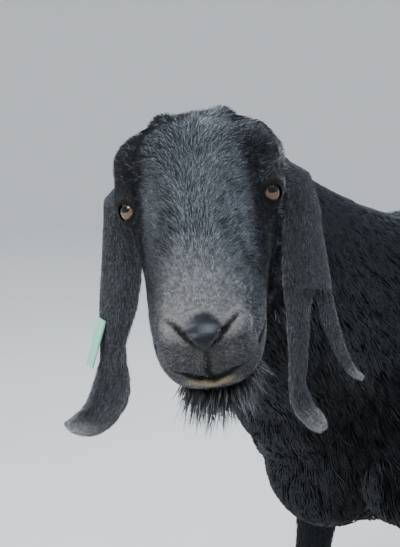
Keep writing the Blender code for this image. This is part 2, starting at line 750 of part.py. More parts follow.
def right_ear(name):
    made = ear(name, -1, RIGHT_EAR[:6], [(0, EAR_ACROSS, RIGHT_EAR[6:])])
    hole = tag_round("hole", TAG_PIN_RADIUS + TAG_HOLE, -0.012, 0.012)
    return boolean(made, [hole], "DIFFERENCE")


def left_ear(name):
    lobes = [(0, LEFT_EAR_SPLIT, LEFT_EAR_FRONT), (LEFT_EAR_SPLIT, EAR_ACROSS, LEFT_EAR_BACK)]
    return ear(name, 1, LEFT_EAR, lobes)


def ear_rooms():
    """Both ears swollen all round, to cut the room for their roots."""
    rooms = []
    for made in (right_ear("ear_room"), left_ear("ear_room")):
        swell = made.modifiers.new("Swell", "DISPLACE")
        swell.strength = EAR_ROOM
        swell.mid_level = 0
        rooms.append(as_mesh(made, "ear_room"))
    return rooms


def coronet_plane(kind, side):
    """Where a foot's horn meets its hair: a point, and the normal towards the leg."""
    x, y = FEET[kind]
    return Vector((x * side, y, CORONET)), Vector((0, CORONET_SLOPE, 1)).normalized()


def toe(name, kind, side, inner):
    """One half of a hoof: flat sole, sloped front wall, straight inner wall."""
    x, y = FEET[kind]
    point, normal = coronet_plane(kind, side)
    rings = []
    for height in (0.0, 0.002, 0.020, 0.060):
        trim = 0.0012 if height == 0 else 0.0
        reach = TOE["length"] / 2 * (1 - 5 * height) - trim
        ring = []
        for k in range(9):
            angle = math.pi * k / 8
            out = (TOE["width"] - 0.07 * height - trim) * math.sin(angle) ** 0.6
            across = x * side + inner * (TOE["cleft"] / 2 + trim + out)
            along = y + height * TOE["lean"] - math.cos(angle) * reach
            ring.append(Vector((across, along, height)))
        rings.append(ring)
    return trimmed(loft(name, rings), point, -normal, "EXACT")


def dewclaw(name, kind, side, inner, grown=0.0):
    x, y, z = DEWCLAWS[kind]
    spot = Vector((x * side + inner * DEWCLAW_SPREAD, y, z))
    place = Matrix.Translation(spot) @ Matrix.Rotation(math.radians(-25), 4, "X")
    radii = [radius + grown for radius in DEWCLAW_SIZE]
    return ball(name, (0, 0, 0), radii, place, 8, 5)


def leg_box(kind, side, grown=0.0):
    """A box about one leg, with a sloped top where the leg is parted from the trunk."""
    front, back, height, slope_x, slope_y, (x, y) = LEG_BOX[kind]
    shape = bmesh.new()
    for across in (LEG_BOX_INNER, LEG_BOX_OUTER):
        for along in (front, back):
            top = height + slope_x * (across - x) + slope_y * (along - y) + grown
            for level in (-0.1, top):
                shape.verts.new((across * side, along, level))
    bmesh.ops.convex_hull(shape, input=shape.verts)
    return from_bmesh("leg_box", shape)


def tag_place():
    """The tag's own frame at its pin: across the strip, down it, and out of the ear."""
    pin, foot = hanging(*TAG_PIN), hanging(*TAG_FOOT)
    down = (foot - pin).normalized()
    ahead, left = hanging_axes()
    outwards = ahead * TAG_OUTWARDS[0] + left * TAG_OUTWARDS[1]
    outwards = (outwards - down * outwards.dot(down)).normalized()
    turn = Matrix((down.cross(outwards), down, outwards)).transposed().to_4x4()
    return Matrix.Translation(pin) @ turn, (foot - pin).length


def tag_round(name, radius, low, high, segments=20):
    """A round piece of the tag about its pin, between two depths."""
    shape = bmesh.new()
    bmesh.ops.create_cone(
        shape, segments=segments, radius1=radius, radius2=radius, depth=high - low, cap_ends=True
    )
    place, _ = tag_place()
    return from_bmesh(name, shape, place @ Matrix.Translation((0, 0, (low + high) / 2)))


def tag(name):
    """A bare ear tag: a strip before the ear, a button behind it, and the pin between."""
    place, length = tag_place()
    shape = bmesh.new()
    bmesh.ops.create_cube(shape, size=1)
    size = Matrix.Diagonal((TAG_WIDTH, length + TAG_ABOVE_PIN, TAG_THICKNESS, 1))
    move = Matrix.Translation((0, (length - TAG_ABOVE_PIN) / 2, TAG_OFF_EAR))
    strip = from_bmesh(name, shape, place @ move @ size)
    pin = tag_round("pin", TAG_PIN_RADIUS, -TAG_BUTTON_DEPTH, TAG_OFF_EAR)
    back = -TAG_BUTTON_DEPTH - TAG_THICKNESS / 2
    button = tag_round("button", TAG_BUTTON_RADIUS, back, back + TAG_THICKNESS)
    return boolean(strip, [pin, button], "UNION")


def tree_of(obj):
    shape = bmesh.new()
    shape.from_mesh(obj.data)
    tree = BVHTree.FromBMesh(shape)
    shape.free()
    return tree


def scattered(obj, spacing, seed, grows):
    """Spots spread over an object's surface at least that far apart, where hair grows."""
    random = np.random.default_rng(seed)
    shape = bmesh.new()
    shape.from_mesh(obj.data)
    bmesh.ops.triangulate(shape, faces=shape.faces)
    corners = np.array([[vertex.co for vertex in face.verts] for face in shape.faces])
    shape.free()
    crossed = np.cross(corners[:, 1] - corners[:, 0], corners[:, 2] - corners[:, 0])
    areas = np.linalg.norm(crossed, axis=1)
    picked = random.choice(len(areas), 12000, p=areas / areas.sum())
    shares = random.dirichlet((1, 1, 1), 12000)
    spots = np.einsum("ij,ijk->ik", shares, corners[picked])
    normals = crossed[picked] / areas[picked, None]
    kept = []
    for spot, normal in zip(spots, normals):
        if kept and np.min(np.linalg.norm(np.array(kept) - spot, axis=1)) < spacing:
            continue
        if grows(Vector(spot), Vector(normal)):
            kept.append(spot)
    return [Vector(spot) for spot in kept]


def lock(tree, spot, lie_of, length, width, lift, root, hangs):
    """A flat, tapered and bent lock: its root is sunk in the body and its tip stands off.

    There is none where the surface turns away too sharply under it.
    """
    at, normal, _, _ = tree.find_nearest(spot)
    lie = lie_of(at, normal)
    rings, before = [], 0.0
    middle = at - normal * root
    for share, broad in LOCK_SHAPE + ((1.0, 0.0),):
        step = length * (share - before)
        behind = middle
        if hangs:
            middle = behind + lie * step
        else:
            at, normal, _, _ = tree.find_nearest(at + lie * step)
            rise = -root if share == 0 else lift * share**0.7 - 0.003
            middle = at + normal * rise
            if (middle - behind).dot(lie) < step * LOCK_LEAST_STEP:
                return None
            lie = lie_of(at, normal)
        before = share
        side = lie.cross(normal).normalized() * width / 2
        ridge = side.cross(lie).normalized() * width * 0.16
        if broad:
            rings.append([middle - side * broad, middle + side * broad, middle - ridge * broad])
    shape = bmesh.new()
    made = [[shape.verts.new(point) for point in ring] for ring in rings]
    tip = shape.verts.new(middle)
    for low, high in zip(made, made[1:]):
        for k in range(3):
            shape.faces.new((low[k], low[(k + 1) % 3], high[(k + 1) % 3], high[k]))
    for k in range(3):
        shape.faces.new((made[-1][k], made[-1][(k + 1) % 3], tip))
    shape.faces.new(made[0])
    return from_bmesh("lock", shape)


def combed(obj, kind, lie_of, grows, hangs=False):
    """Grows one kind of locks on an object and fuses them with it."""
    spacing, length, width, lift, root, seed = LOCKS[kind]
    random = np.random.default_rng(seed + 100)
    tree = tree_of(obj)
    locks = []
    for spot in scattered(obj, spacing, seed, grows):
        size = random.uniform(0.8, 1.15)
        locks.append(lock(tree, spot, lie_of, length * size, width * size, lift, root, hangs))
    return boolean(obj, [made for made in locks if made], "UNION", "MANIFOLD")


def in_face(spot):
    return head_matrix().inverted() @ spot


def beard_grows(spot, normal):
    at = in_face(spot)
    return 0.085 < at.x < 0.155 and at.z < -0.052 and abs(at.y) < 0.028


def crown_grows(spot, normal):
    at = in_face(spot)
    return -0.098 < at.x < -0.045 and at.z > 0.030 and abs(at.y) < 0.050


def neck_grows(spot, normal):
    return spot.z > 0.53 and spot.y < -0.30 and (spot - EYES_MIDDLE).length > 0.20


def trunk_grows(spot, normal):
    outer = normal.x * spot.x > -0.01
    return spot.z > 0.56 and -0.30 < spot.y < 0.44 and normal.z > -0.80 and outer


def tail_grows(spot, normal):
    return spot.y > 0.548


def latch_plane():
    """Where the head is parted from the neck: a point, and the normal towards the head."""
    point = head_matrix() @ NECK_LATCH
    return point, head_matrix().to_3x3() @ NECK_LATCH_NORMAL


def make_head():
    head = kneaded("head", skull_clay() + [neck(NECK_END)], 0.0028, 6)
    covers = []
    for side in SIDES.values():
        radii = (EYE_RADIUS + LID_COVER,) * 3
        covers.append(ball("lid_cover", (0, 0, 0), radii, eye_place(side)))
    head = thinned(boolean(head, covers, "UNION", "MANIFOLD"), 2700)
    grooves = [groove(head, PHILTRUM, 1)]
    for side in SIDES.values():
        grooves += [groove(head, NOSTRIL, side), groove(head, MOUTH, side)]
    openings = [lid_opening(side) for side in SIDES.values()]
    head = boolean(head, grooves + openings, "DIFFERENCE", "MANIFOLD")
    rims = [rim for side in SIDES.values() for rim in lid_rims(side)]
    head = boolean(head, rims, "UNION", "MANIFOLD")
    sockets = [eyeball("socket", side, GAP) for side in SIDES.values()]
    head = boolean(head, sockets + ear_rooms(), "DIFFERENCE", "MANIFOLD")
    head = combed(head, "crown", crown_lie, crown_grows)
    head = combed(head, "beard", beard_lie, beard_grows, hangs=True)
    return trimmed(head, *latch_plane())


def make_body():
    """Trunk, neck, tail and legs in one, which cuts then part."""
    pieces = [trunk(), neck(), tail()] + skull_clay() + balls(TRUNK_FORMS, 0)
    for side in SIDES.values():
        pieces += [leg(FORELEG, side), leg(HINDLEG, side)]
    body = thinned(kneaded("torso", pieces, 0.0060, 6), 2600)
    point, normal = latch_plane()
    body = trimmed(body, point, -normal)
    body = boolean(body, ear_rooms(), "DIFFERENCE", "MANIFOLD")
    body = combed(body, "trunk", body_lie, trunk_grows)
    body = combed(body, "neck", body_lie, neck_grows)
    body = combed(body, "tail", body_lie, tail_grows)
    body, _ = parted(body, "neck", *NECK_CUT)
    body, _ = parted(body, "tail", *TAIL_CUT)
    for side_name, side in SIDES.items():
        for kind in ("fore", "hind"):
            limb = new_object(f"{kind}leg_{side_name}", body.data.copy())
            limb = largest(boolean(limb, [leg_box(kind, side)], "INTERSECT", "MANIFOLD"))
            body = boolean(body, [leg_box(kind, side, GAP)], "DIFFERENCE", "MANIFOLD")
            limb = trimmed(limb, *coronet_plane(kind, side))
            sockets = [dewclaw("socket", kind, side, inner, GAP) for inner in (1, -1)]
            largest(boolean(limb, sockets, "DIFFERENCE", "MANIFOLD"))
    largest(body)


def main():
    clear_scene()
    make_head()
    make_body()
    right_ear("ear_right")
    left_ear("ear_left")
    for side_name, side in SIDES.items():
        eyeball(f"eye_{side_name}", side)
        for kind in ("fore", "hind"):
            for inner, place in ((-side, "inner"), (side, "outer")):
                toe(f"hoof_{kind}_{side_name}_{place}", kind, side, inner)
                dewclaw(f"dewclaw_{kind}_{side_name}_{place}", kind, side, inner)
    tag("ear_tag")
    for obj in list(bpy.data.objects):
        obj.data.transform(Matrix.Translation(STAND_SHIFT))
        dressed(obj)


if __name__ == "__main__":
    main()
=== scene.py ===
"""A black, lop-eared, polled billy goat that stands and turns its head to its left.

Metres, +Z up. The goat faces -Y, its left side is +X, and its hooves stand on z = 0.
"""

import json
import math

import bmesh
import bpy
import numpy as np
from mathutils import Matrix, Vector
from mathutils.kdtree import KDTree

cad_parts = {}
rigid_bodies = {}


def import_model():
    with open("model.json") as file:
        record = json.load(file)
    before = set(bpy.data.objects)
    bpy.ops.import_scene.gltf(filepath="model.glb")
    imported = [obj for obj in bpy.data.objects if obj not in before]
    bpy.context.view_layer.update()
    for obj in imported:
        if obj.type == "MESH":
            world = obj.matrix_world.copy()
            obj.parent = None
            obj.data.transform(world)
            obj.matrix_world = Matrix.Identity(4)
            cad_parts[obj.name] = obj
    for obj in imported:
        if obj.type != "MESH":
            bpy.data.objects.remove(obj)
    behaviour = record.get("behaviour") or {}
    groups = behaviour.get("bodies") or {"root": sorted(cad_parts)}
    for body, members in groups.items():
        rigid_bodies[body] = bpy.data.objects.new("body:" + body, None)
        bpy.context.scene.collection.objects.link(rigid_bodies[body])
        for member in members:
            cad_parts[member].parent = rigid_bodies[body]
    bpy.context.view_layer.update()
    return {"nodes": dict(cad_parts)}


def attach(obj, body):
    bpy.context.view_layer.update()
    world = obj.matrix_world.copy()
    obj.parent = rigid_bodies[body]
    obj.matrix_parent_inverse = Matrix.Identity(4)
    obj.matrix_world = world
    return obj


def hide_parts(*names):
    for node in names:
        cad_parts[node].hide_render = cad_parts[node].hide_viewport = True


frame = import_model()

UP = Vector((0, 0, 1))
SIDES = {"left": 1, "right": -1}

# Moves the finished goat so that the origin lies under the middle of its box.
STAND_SHIFT = Vector((-0.071, 0.112, 0.0))

# Where the head is held: the point midway between the eyes, and how it is turned.
EYES_MIDDLE = Vector((0.20, -0.76, 1.00))
HEAD_TURN = math.radians(50)
HEAD_NOD = math.radians(30)
HEAD_ROLL = math.radians(8)

# Trunk, front to back: y, height of its widest point, rise above it, drop below it, half width.
TRUNK = (
    (-0.466, 0.690, 0.055, 0.078, 0.048),
    (-0.428, 0.685, 0.128, 0.142, 0.102),
    (-0.340, 0.690, 0.205, 0.198, 0.140),
    (-0.240, 0.690, 0.236, 0.212, 0.150),
    (-0.120, 0.680, 0.226, 0.216, 0.168),
    (0.040, 0.660, 0.232, 0.212, 0.192),
    (0.200, 0.680, 0.218, 0.196, 0.180),
    (0.320, 0.715, 0.206, 0.160, 0.150),
    (0.420, 0.735, 0.166, 0.130, 0.122),
    (0.485, 0.750, 0.085, 0.080, 0.070),
)

# Neck, chest to skull: x, y, z of its middle, half depth, half width.
NECK = (
    (0.000, -0.230, 0.725, 0.175, 0.118),
    (0.002, -0.350, 0.775, 0.166, 0.112),
    (0.022, -0.470, 0.840, 0.140, 0.096),
    (0.055, -0.575, 0.910, 0.114, 0.080),
    (0.095, -0.650, 0.972, 0.092, 0.068),
    (0.130, -0.702, 1.008, 0.072, 0.056),
)

# Legs, top to coronet: x, y, z, half width, half depth.
FORELEG = (
    (0.098, -0.320, 0.700, 0.048, 0.095),
    (0.106, -0.290, 0.600, 0.046, 0.084),
    (0.112, -0.268, 0.530, 0.042, 0.070),
    (0.112, -0.276, 0.450, 0.034, 0.048),
    (0.112, -0.288, 0.365, 0.027, 0.033),
    (0.112, -0.297, 0.305, 0.031, 0.036),
    (0.112, -0.291, 0.258, 0.025, 0.028),
    (0.112, -0.286, 0.185, 0.0205, 0.024),
    (0.112, -0.286, 0.115, 0.026, 0.031),
    (0.112, -0.302, 0.072, 0.026, 0.026),
    (0.112, -0.318, 0.030, 0.031, 0.031),
    (0.112, -0.324, 0.012, 0.031, 0.031),
)
HINDLEG = (
    (0.085, 0.370, 0.760, 0.050, 0.115),
    (0.098, 0.350, 0.660, 0.058, 0.125),
    (0.110, 0.318, 0.570, 0.055, 0.100),
    (0.112, 0.335, 0.490, 0.043, 0.068),
    (0.109, 0.388, 0.410, 0.031, 0.048),
    (0.106, 0.430, 0.350, 0.028, 0.043),
    (0.106, 0.432, 0.290, 0.025, 0.033),
    (0.106, 0.420, 0.200, 0.0215, 0.026),
    (0.106, 0.412, 0.122, 0.027, 0.032),
    (0.106, 0.396, 0.074, 0.026, 0.027),
    (0.106, 0.382, 0.030, 0.031, 0.031),
    (0.106, 0.376, 0.012, 0.031, 0.031),
)
TAIL = (
    (0.0, 0.450, 0.800, 0.030, 0.026),
    (0.0, 0.500, 0.835, 0.027, 0.024),
    (0.0, 0.545, 0.862, 0.030, 0.022),
    (0.0, 0.585, 0.870, 0.030, 0.018),
    (0.0, 0.622, 0.850, 0.020, 0.011),
    (0.0, 0.640, 0.825, 0.008, 0.005),
)
# Muscle and bone laid on the trunk: centre and radii; those off the middle come in pairs.
TRUNK_FORMS = {
    "shoulder_blade": ((0.096, -0.285, 0.715), (0.046, 0.095, 0.155)),
    "upper_arm": ((0.112, -0.330, 0.610), (0.040, 0.085, 0.080)),
    "throat_root": ((0.008, -0.440, 0.715), (0.078, 0.085, 0.090)),
    "brisket": ((0.0, -0.385, 0.590), (0.080, 0.076, 0.088)),
    "haunch": ((0.082, 0.345, 0.720), (0.064, 0.125, 0.120)),
    "hip_point": ((0.080, 0.275, 0.850), (0.030, 0.050, 0.030)),
    "thigh": ((0.100, 0.345, 0.610), (0.056, 0.110, 0.100)),
    "hock_point": ((0.106, 0.462, 0.368), (0.015, 0.020, 0.028)),
    "scrotum": ((0.0, 0.290, 0.490), (0.040, 0.044, 0.070)),
    "sheath": ((0.0, 0.090, 0.462), (0.022, 0.060, 0.020)),
}

# Sections of the face in the head's own frame: forward along the face, left, and up out of it.
# Station: forward, top, then left and up of the bridge edge, of the side at eye level,
# of the cheek and of the jaw's edge, and last the underside.
FACE = (
    (-0.122, 0.010, 0.014, 0.006, 0.026, -0.014, 0.024, -0.032, 0.012, -0.042, -0.044),
    (-0.100, 0.032, 0.028, 0.026, 0.050, -0.006, 0.048, -0.048, 0.022, -0.074, -0.078),
    (-0.062, 0.045, 0.040, 0.039, 0.062, 0.004, 0.059, -0.052, 0.034, -0.086, -0.091),
    (-0.022, 0.053, 0.042, 0.045, 0.063, 0.008, 0.060, -0.048, 0.034, -0.082, -0.087),
    (0.018, 0.053, 0.036, 0.044, 0.055, -0.002, 0.054, -0.044, 0.029, -0.072, -0.076),
    (0.058, 0.049, 0.029, 0.039, 0.047, -0.006, 0.047, -0.040, 0.025, -0.062, -0.066),
    (0.096, 0.042, 0.026, 0.032, 0.043, -0.008, 0.043, -0.036, 0.024, -0.056, -0.060),
    (0.128, 0.032, 0.025, 0.022, 0.041, -0.010, 0.042, -0.034, 0.025, -0.053, -0.057),
    (0.150, 0.020, 0.022, 0.012, 0.035, -0.010, 0.038, -0.032, 0.024, -0.050, -0.055),
    (0.164, 0.008, 0.017, 0.002, 0.026, -0.012, 0.029, -0.030, 0.020, -0.043, -0.047),
    (0.173, -0.006, 0.010, -0.010, 0.015, -0.017, 0.016, -0.026, 0.010, -0.032, -0.034),
)
# Forms laid on the face: centre (forward, left, up) and radii; those off the middle come in pairs.
FACE_FORMS = {
    "orbit": ((-0.013, 0.053, 0.003), (0.026, 0.021, 0.020)),
    "brow": ((-0.022, 0.049, 0.017), (0.031, 0.022, 0.013)),
    "temple": ((-0.046, 0.044, 0.016), (0.038, 0.030, 0.026)),
    "cheek": ((-0.026, 0.040, -0.048), (0.044, 0.023, 0.036)),
    "cheekbone": ((0.034, 0.040, -0.014), (0.036, 0.013, 0.012)),
    "nostril_wing": ((0.148, 0.021, 0.003), (0.017, 0.013, 0.012)),
    "upper_lip": ((0.153, 0.018, -0.012), (0.021, 0.019, 0.016)),
    "poll_bump": ((-0.066, 0.023, 0.034), (0.022, 0.020, 0.016)),
    "ear_root": ((-0.060, 0.058, 0.000), (0.022, 0.020, 0.020)),
    "forehead": ((-0.026, 0.0, 0.036), (0.050, 0.048, 0.022)),
    "nose_pad": ((0.159, 0.0, 0.003), (0.012, 0.019, 0.011)),
    "chin": ((0.143, 0.0, -0.047), (0.024, 0.024, 0.013)),
    "beard_root": ((0.122, 0.0, -0.060), (0.036, 0.024, 0.012)),
}
# The head's clay takes in the neck from this step of it on.
NECK_END = 14
NECK_LATCH = Vector((-0.094, 0.0, -0.020))
NECK_LATCH_NORMAL = Vector((0.946, 0.0, 0.325))

EYE_SPOT = Vector((0.0005, 0.0535, 0.0025))
EYE_RADIUS = 0.0145
EYE_AXIS = Vector((0.60, 0.72, 0.36)).normalized()
LID_COVER = 0.0030
LID_LENGTH = 0.0200
LID_OPENING = 0.0125
LID_RIM = 0.0018

# Grooves of the face: guide points (forward, left, up) and the radius at each.
NOSTRIL = (
    (0.174, 0.002, 0.0020, 0.0012),
    (0.169, 0.006, 0.0045, 0.0024),
    (0.162, 0.012, 0.0075, 0.0032),
    (0.156, 0.018, 0.0100, 0.0030),
    (0.149, 0.024, 0.0105, 0.0022),
    (0.143, 0.028, 0.0085, 0.0008),
)
MOUTH = (
    (0.176, 0.000, -0.0255, 0.0019),
    (0.174, 0.010, -0.0232, 0.0018),
    (0.170, 0.020, -0.0180, 0.0017),
    (0.162, 0.030, -0.0158, 0.0016),
    (0.146, 0.038, -0.0180, 0.0015),
    (0.124, 0.042, -0.0225, 0.0013),
    (0.106, 0.043, -0.0250, 0.0010),
)
PHILTRUM = (
    (0.176, 0.0, 0.001, 0.0011),
    (0.177, 0.0, -0.012, 0.0014),
    (0.177, 0.0, -0.025, 0.0016),
)

# Ears, root to tip, in the hanging frame: ahead of the eyes' middle, left of it and above it,
# for the edge by the cheek and for the outer edge, and the height of the cup between them.
EAR_THICKNESS = 0.0038
EAR_ACROSS = 16
LEFT_EAR_SPLIT = 10
RIGHT_EAR = (
    (-0.036, -0.046, -0.018, -0.076, -0.048, 0.010, 0.014),
    (-0.036, -0.060, -0.016, -0.076, -0.072, 0.010, 0.017),
    (-0.042, -0.065, -0.018, -0.070, -0.087, -0.006, 0.016),
    (-0.046, -0.063, -0.027, -0.062, -0.090, -0.026, 0.014),
    (-0.044, -0.058, -0.041, -0.060, -0.092, -0.044, 0.013),
    (-0.042, -0.056, -0.060, -0.058, -0.093, -0.064, 0.013),
    (-0.040, -0.057, -0.082, -0.056, -0.095, -0.087, 0.012),
    (-0.040, -0.061, -0.104, -0.054, -0.096, -0.108, 0.011),
    (-0.040, -0.067, -0.122, -0.052, -0.096, -0.124, 0.009),
    (-0.039, -0.072, -0.138, -0.049, -0.096, -0.140, 0.006),
    (-0.036, -0.071, -0.153, -0.045, -0.096, -0.154, 0.003),
    (-0.034, -0.068, -0.168, -0.040, -0.100, -0.167, -0.001),
    (-0.030, -0.067, -0.180, -0.034, -0.103, -0.177, -0.006),
    (-0.026, -0.070, -0.191, -0.028, -0.106, -0.188, -0.008),
    (-0.022, -0.077, -0.203, -0.022, -0.110, -0.195, -0.008),
    (-0.019, -0.087, -0.214, -0.018, -0.115, -0.199, -0.007),
    (-0.017, -0.099, -0.220, -0.016, -0.120, -0.203, -0.005),
    (-0.016, -0.112, -0.220, -0.016, -0.123, -0.205, -0.003),
    (-0.016, -0.124, -0.215, -0.016, -0.128, -0.208, -0.001),
)
LEFT_EAR = (
    (-0.036, 0.046, 0.000, -0.076, 0.048, 0.024, 0.014),
    (-0.036, 0.062, 0.004, -0.076, 0.076, 0.026, 0.017),
    (-0.044, 0.074, 0.006, -0.070, 0.094, 0.016, 0.015),
    (-0.048, 0.077, -0.006, -0.060, 0.102, -0.002, 0.014),
    (-0.046, 0.076, -0.018, -0.060, 0.105, -0.015, 0.014),
    (-0.043, 0.075, -0.032, -0.059, 0.107, -0.032, 0.014),
    (-0.041, 0.073, -0.047, -0.058, 0.111, -0.049, 0.014),
    (-0.040, 0.073, -0.063, -0.057, 0.114, -0.065, 0.013),
    (-0.039, 0.074, -0.078, -0.056, 0.117, -0.080, 0.011),
)
LEFT_EAR_FRONT = (
    (-0.038, 0.076, -0.091, -0.047, 0.099, -0.092, 0.008),
    (-0.038, 0.078, -0.105, -0.046, 0.098, -0.107, 0.007),
    (-0.037, 0.079, -0.121, -0.045, 0.098, -0.123, 0.006),
    (-0.036, 0.080, -0.138, -0.043, 0.097, -0.139, 0.005),
    (-0.034, 0.081, -0.154, -0.040, 0.097, -0.155, 0.003),
    (-0.032, 0.081, -0.170, -0.036, 0.096, -0.169, -0.001),
    (-0.029, 0.082, -0.183, -0.032, 0.099, -0.179, -0.004),
    (-0.026, 0.086, -0.195, -0.028, 0.104, -0.188, -0.005),
    (-0.024, 0.093, -0.204, -0.025, 0.110, -0.194, -0.005),
    (-0.023, 0.101, -0.211, -0.023, 0.115, -0.202, -0.004),
    (-0.022, 0.110, -0.215, -0.022, 0.117, -0.210, -0.002),
)
LEFT_EAR_BACK = (
    (-0.051, 0.105, -0.092, -0.056, 0.119, -0.092, 0.004),
    (-0.051, 0.109, -0.107, -0.056, 0.122, -0.106, 0.004),
    (-0.050, 0.113, -0.120, -0.055, 0.126, -0.119, 0.004),
    (-0.049, 0.118, -0.133, -0.053, 0.130, -0.132, 0.003),
    (-0.047, 0.123, -0.144, -0.051, 0.133, -0.142, 0.003),
    (-0.046, 0.129, -0.154, -0.048, 0.138, -0.151, 0.002),
    (-0.044, 0.135, -0.163, -0.045, 0.142, -0.158, 0.001),
    (-0.042, 0.142, -0.168, -0.043, 0.148, -0.163, 0.001),
    (-0.041, 0.149, -0.170, -0.041, 0.152, -0.167, 0.000),
)

# The skin: grain of the clay, triangles kept, and how deep it lies under the solids.
HEAD_GRAIN = 0.0016
BODY_GRAIN = 0.0048
HEAD_TRIANGLES = 92000
BODY_TRIANGLES = 80000
SKIN_DEPTH = {"body": 0.004, "leg": 0.0020, "head": 0.0010, "ear": 0.0}
EAR_REACH = 0.0075
# No part of an ear is further than this from between the eyes, and no slit starts behind this.
EARS_WITHIN = 0.27
MUZZLE_START = 0.09
# How far head and body run into each other where the skin joins them.
NECK_OVERLAP = 0.004
# Finer forms of the face, beside those that it shares with the solids.
SKIN_FORMS = {
    "lower_lip": ((0.163, 0.0, -0.0318), (0.0120, 0.0170, 0.0058)),
    "nose_tip": ((0.1550, 0.0, 0.0060), (0.0110, 0.0225, 0.0065)),
    "poll": ((-0.070, 0.0, 0.022), (0.034, 0.040, 0.021)),
    "temple_fill": ((-0.056, 0.044, 0.020), (0.030, 0.018, 0.016)),
}
# How far the nostrils and the mouth reach in behind their slits, in the head's own frame.
NOSTRIL_DEPTH = Vector((-0.0036, 0.0, -0.0028))
MOUTH_DEPTH = Vector((-0.0024, -0.0020, 0.0006))
# How much deeper the skin lies under the crown's long hair.
CROWN_DEPTH = 0.0045

# The bare edge of the lids, and what stands for a place that is nowhere near them.
LID_MARGIN = 0.003
FAR_OFF = 9.0
# How far over the middle of the iris the pupil stands, in shares of the eye's radius.
PUPIL_RISE = 0.20
# Half the pupil's width and height, in the same shares.
PUPIL_HALVES = (0.46, 0.19)
# The clear bulge before the iris: its reach and its height, in the same shares.
BULGE_REACH = 0.72
BULGE_HEIGHT = 0.06
# How much smaller than its socket the eyeball is.
EYE_GAP = 0.0004

# How long the hair is, before what hair_sizes adds and takes off for each place.
HAIR_LENGTH = {
    "trunk": 0.050,
    "neck": 0.058,
    "nape": 0.036,
    "leg": 0.026,
    "tail": 0.040,
    "face": 0.0140,
    "beard": 0.034,
    "ear": 0.0075,
}
# The coat: near-black, and the colour of its pale hairs.
BLACK = (0.0095, 0.0125, 0.0175)
HOAR = (0.50, 0.55, 0.61)
# Markings: the colour of each, and the share of its hairs that are pale.
MARKINGS = {
    "face": ((0.0120, 0.0145, 0.0190), 0.08),
    "bridge": ((0.013, 0.0150, 0.0185), 0.32),
    "forehead": ((0.013, 0.018, 0.026), 0.24),
    "crown": ((0.0085, 0.0125, 0.0185), 0.05),
    # The bridge's edges: pale frosted hairs, laid on more thickly on the goat's right as painted light
    # from that side.
    "bridge_edge_frost_and_painted_light": ((0.075, 0.079, 0.083), 0.70),
    "cheek": ((0.0130, 0.0155, 0.0205), 0.08),
    "muzzle": ((0.062, 0.060, 0.060), 0.36),
    "muzzle_top": ((0.200, 0.193, 0.190), 0.50),
    "lip_side": ((0.045, 0.041, 0.040), 0.35),
    "chin": ((0.016, 0.015, 0.016), 0.12),
    "lower_lip": ((0.27, 0.225, 0.135), 0.50),
    "eye_socket": ((0.0060, 0.0056, 0.0056), 0.02),
    "lids": ((0.0030, 0.0027, 0.0027), 0.0),
    "beard": ((0.0300, 0.0305, 0.0330), 0.35),
    "ear": ((0.048, 0.052, 0.058), 0.30),
    "ear_rim": ((0.120, 0.120, 0.123), 0.45),
    "ear_tip": ((0.330, 0.325, 0.325), 0.70),
    "foot": ((0.030, 0.028, 0.026), 0.12),
}
# Near-black painted shade in the grooves of the nostrils, the mouth and the philtrum.
PAINTED_SLIT_SHADE = (0.0016, 0.0016, 0.0020)
# Tufts: how wide each lies on the flat skin, its thickness, how many kinds, the most to a square metre.
TUFT_PATCH = 0.003
TUFT_THICKNESS = 0.002
TUFT_KINDS = 4
TUFTS_AT_MOST = 3.0e6
# What is drawn for each tuft: shares of its length, laid or left to hang, and of its width.
LENGTHS_DRAWN = {"lie": (0.70, 1.15), "hang": (0.50, 1.20)}
WIDTHS_DRAWN = (0.8, 1.2)
SEEDS = {"stray": 3, "length": 5, "width": 6, "kind": 9, "roots": 20}
# Where each part of the skin is laid flat: corner and size.
CELLS = {
    "trunk": ((0.01, 0.01), (0.48, 0.40)),
    "neck": ((0.51, 0.01), (0.48, 0.24)),
    "head": ((0.51, 0.27), (0.48, 0.30)),
    "ear_left": ((0.01, 0.43), (0.14, 0.30)),
    "ear_right": ((0.17, 0.43), (0.14, 0.30)),
    "tail": ((0.33, 0.43), (0.14, 0.14)),
    **{f"leg{index}": ((0.51 + 0.12 * index, 0.59), (0.11, 0.40)) for index in range(4)},
}
# Each leg's side, and whether it is a hind leg (1) or a foreleg (-1).
LEGS = ((1, -1), (-1, -1), (1, 1), (-1, 1))
# Tufts: strands, rings of each, how far they gather, width of a strand in shares of the tuft's, seed.
TUFTS = {
    "short_tufts": (5, 1, -0.2, 0.20, 31),
    "middle_tufts": (5, 2, 0.3, 0.14, 41),
    "long_tufts": (5, 3, 0.5, 0.17, 51),
}
# Each piece of the coat: its tufts, how far apart they root, their width and disorder, then how
# strongly they swirl together and how many swirls there are to a metre.
COAT_SIZES = {
    "coat_face": ("short_tufts", 0.00156, 0.0030, 0.40, 1.6, 75.0),
    "coat_muzzle": ("short_tufts", 0.0015, 0.0022, 0.40, 1.2, 110.0),
    "coat_crown": ("short_tufts", 0.0025, 0.0042, 0.40, 1.8, 60.0),
    "coat_ears": ("short_tufts", 0.0020, 0.0028, 0.20, 0.6, 60.0),
    "coat_beard": ("middle_tufts", 0.0024, 0.0030, 0.34, 0.9, 60.0),
    "coat_neck": ("long_tufts", 0.0070, 0.0105, 0.25, 1.2, 18.0),
    "coat_neck_right": ("long_tufts", 0.0076, 0.0105, 0.25, 1.2, 18.0),
    "coat_trunk_left": ("middle_tufts", 0.0096, 0.0130, 0.22, 0.7, 14.0),
    "coat_trunk_right": ("middle_tufts", 0.0096, 0.0130, 0.22, 0.7, 14.0),
    "coat_tail": ("middle_tufts", 0.0034, 0.0080, 0.30, 0.7, 30.0),
    "coat_legs": ("short_tufts", 0.0070, 0.0075, 0.22, 0.5, 25.0),
}
COATS = tuple(COAT_SIZES)
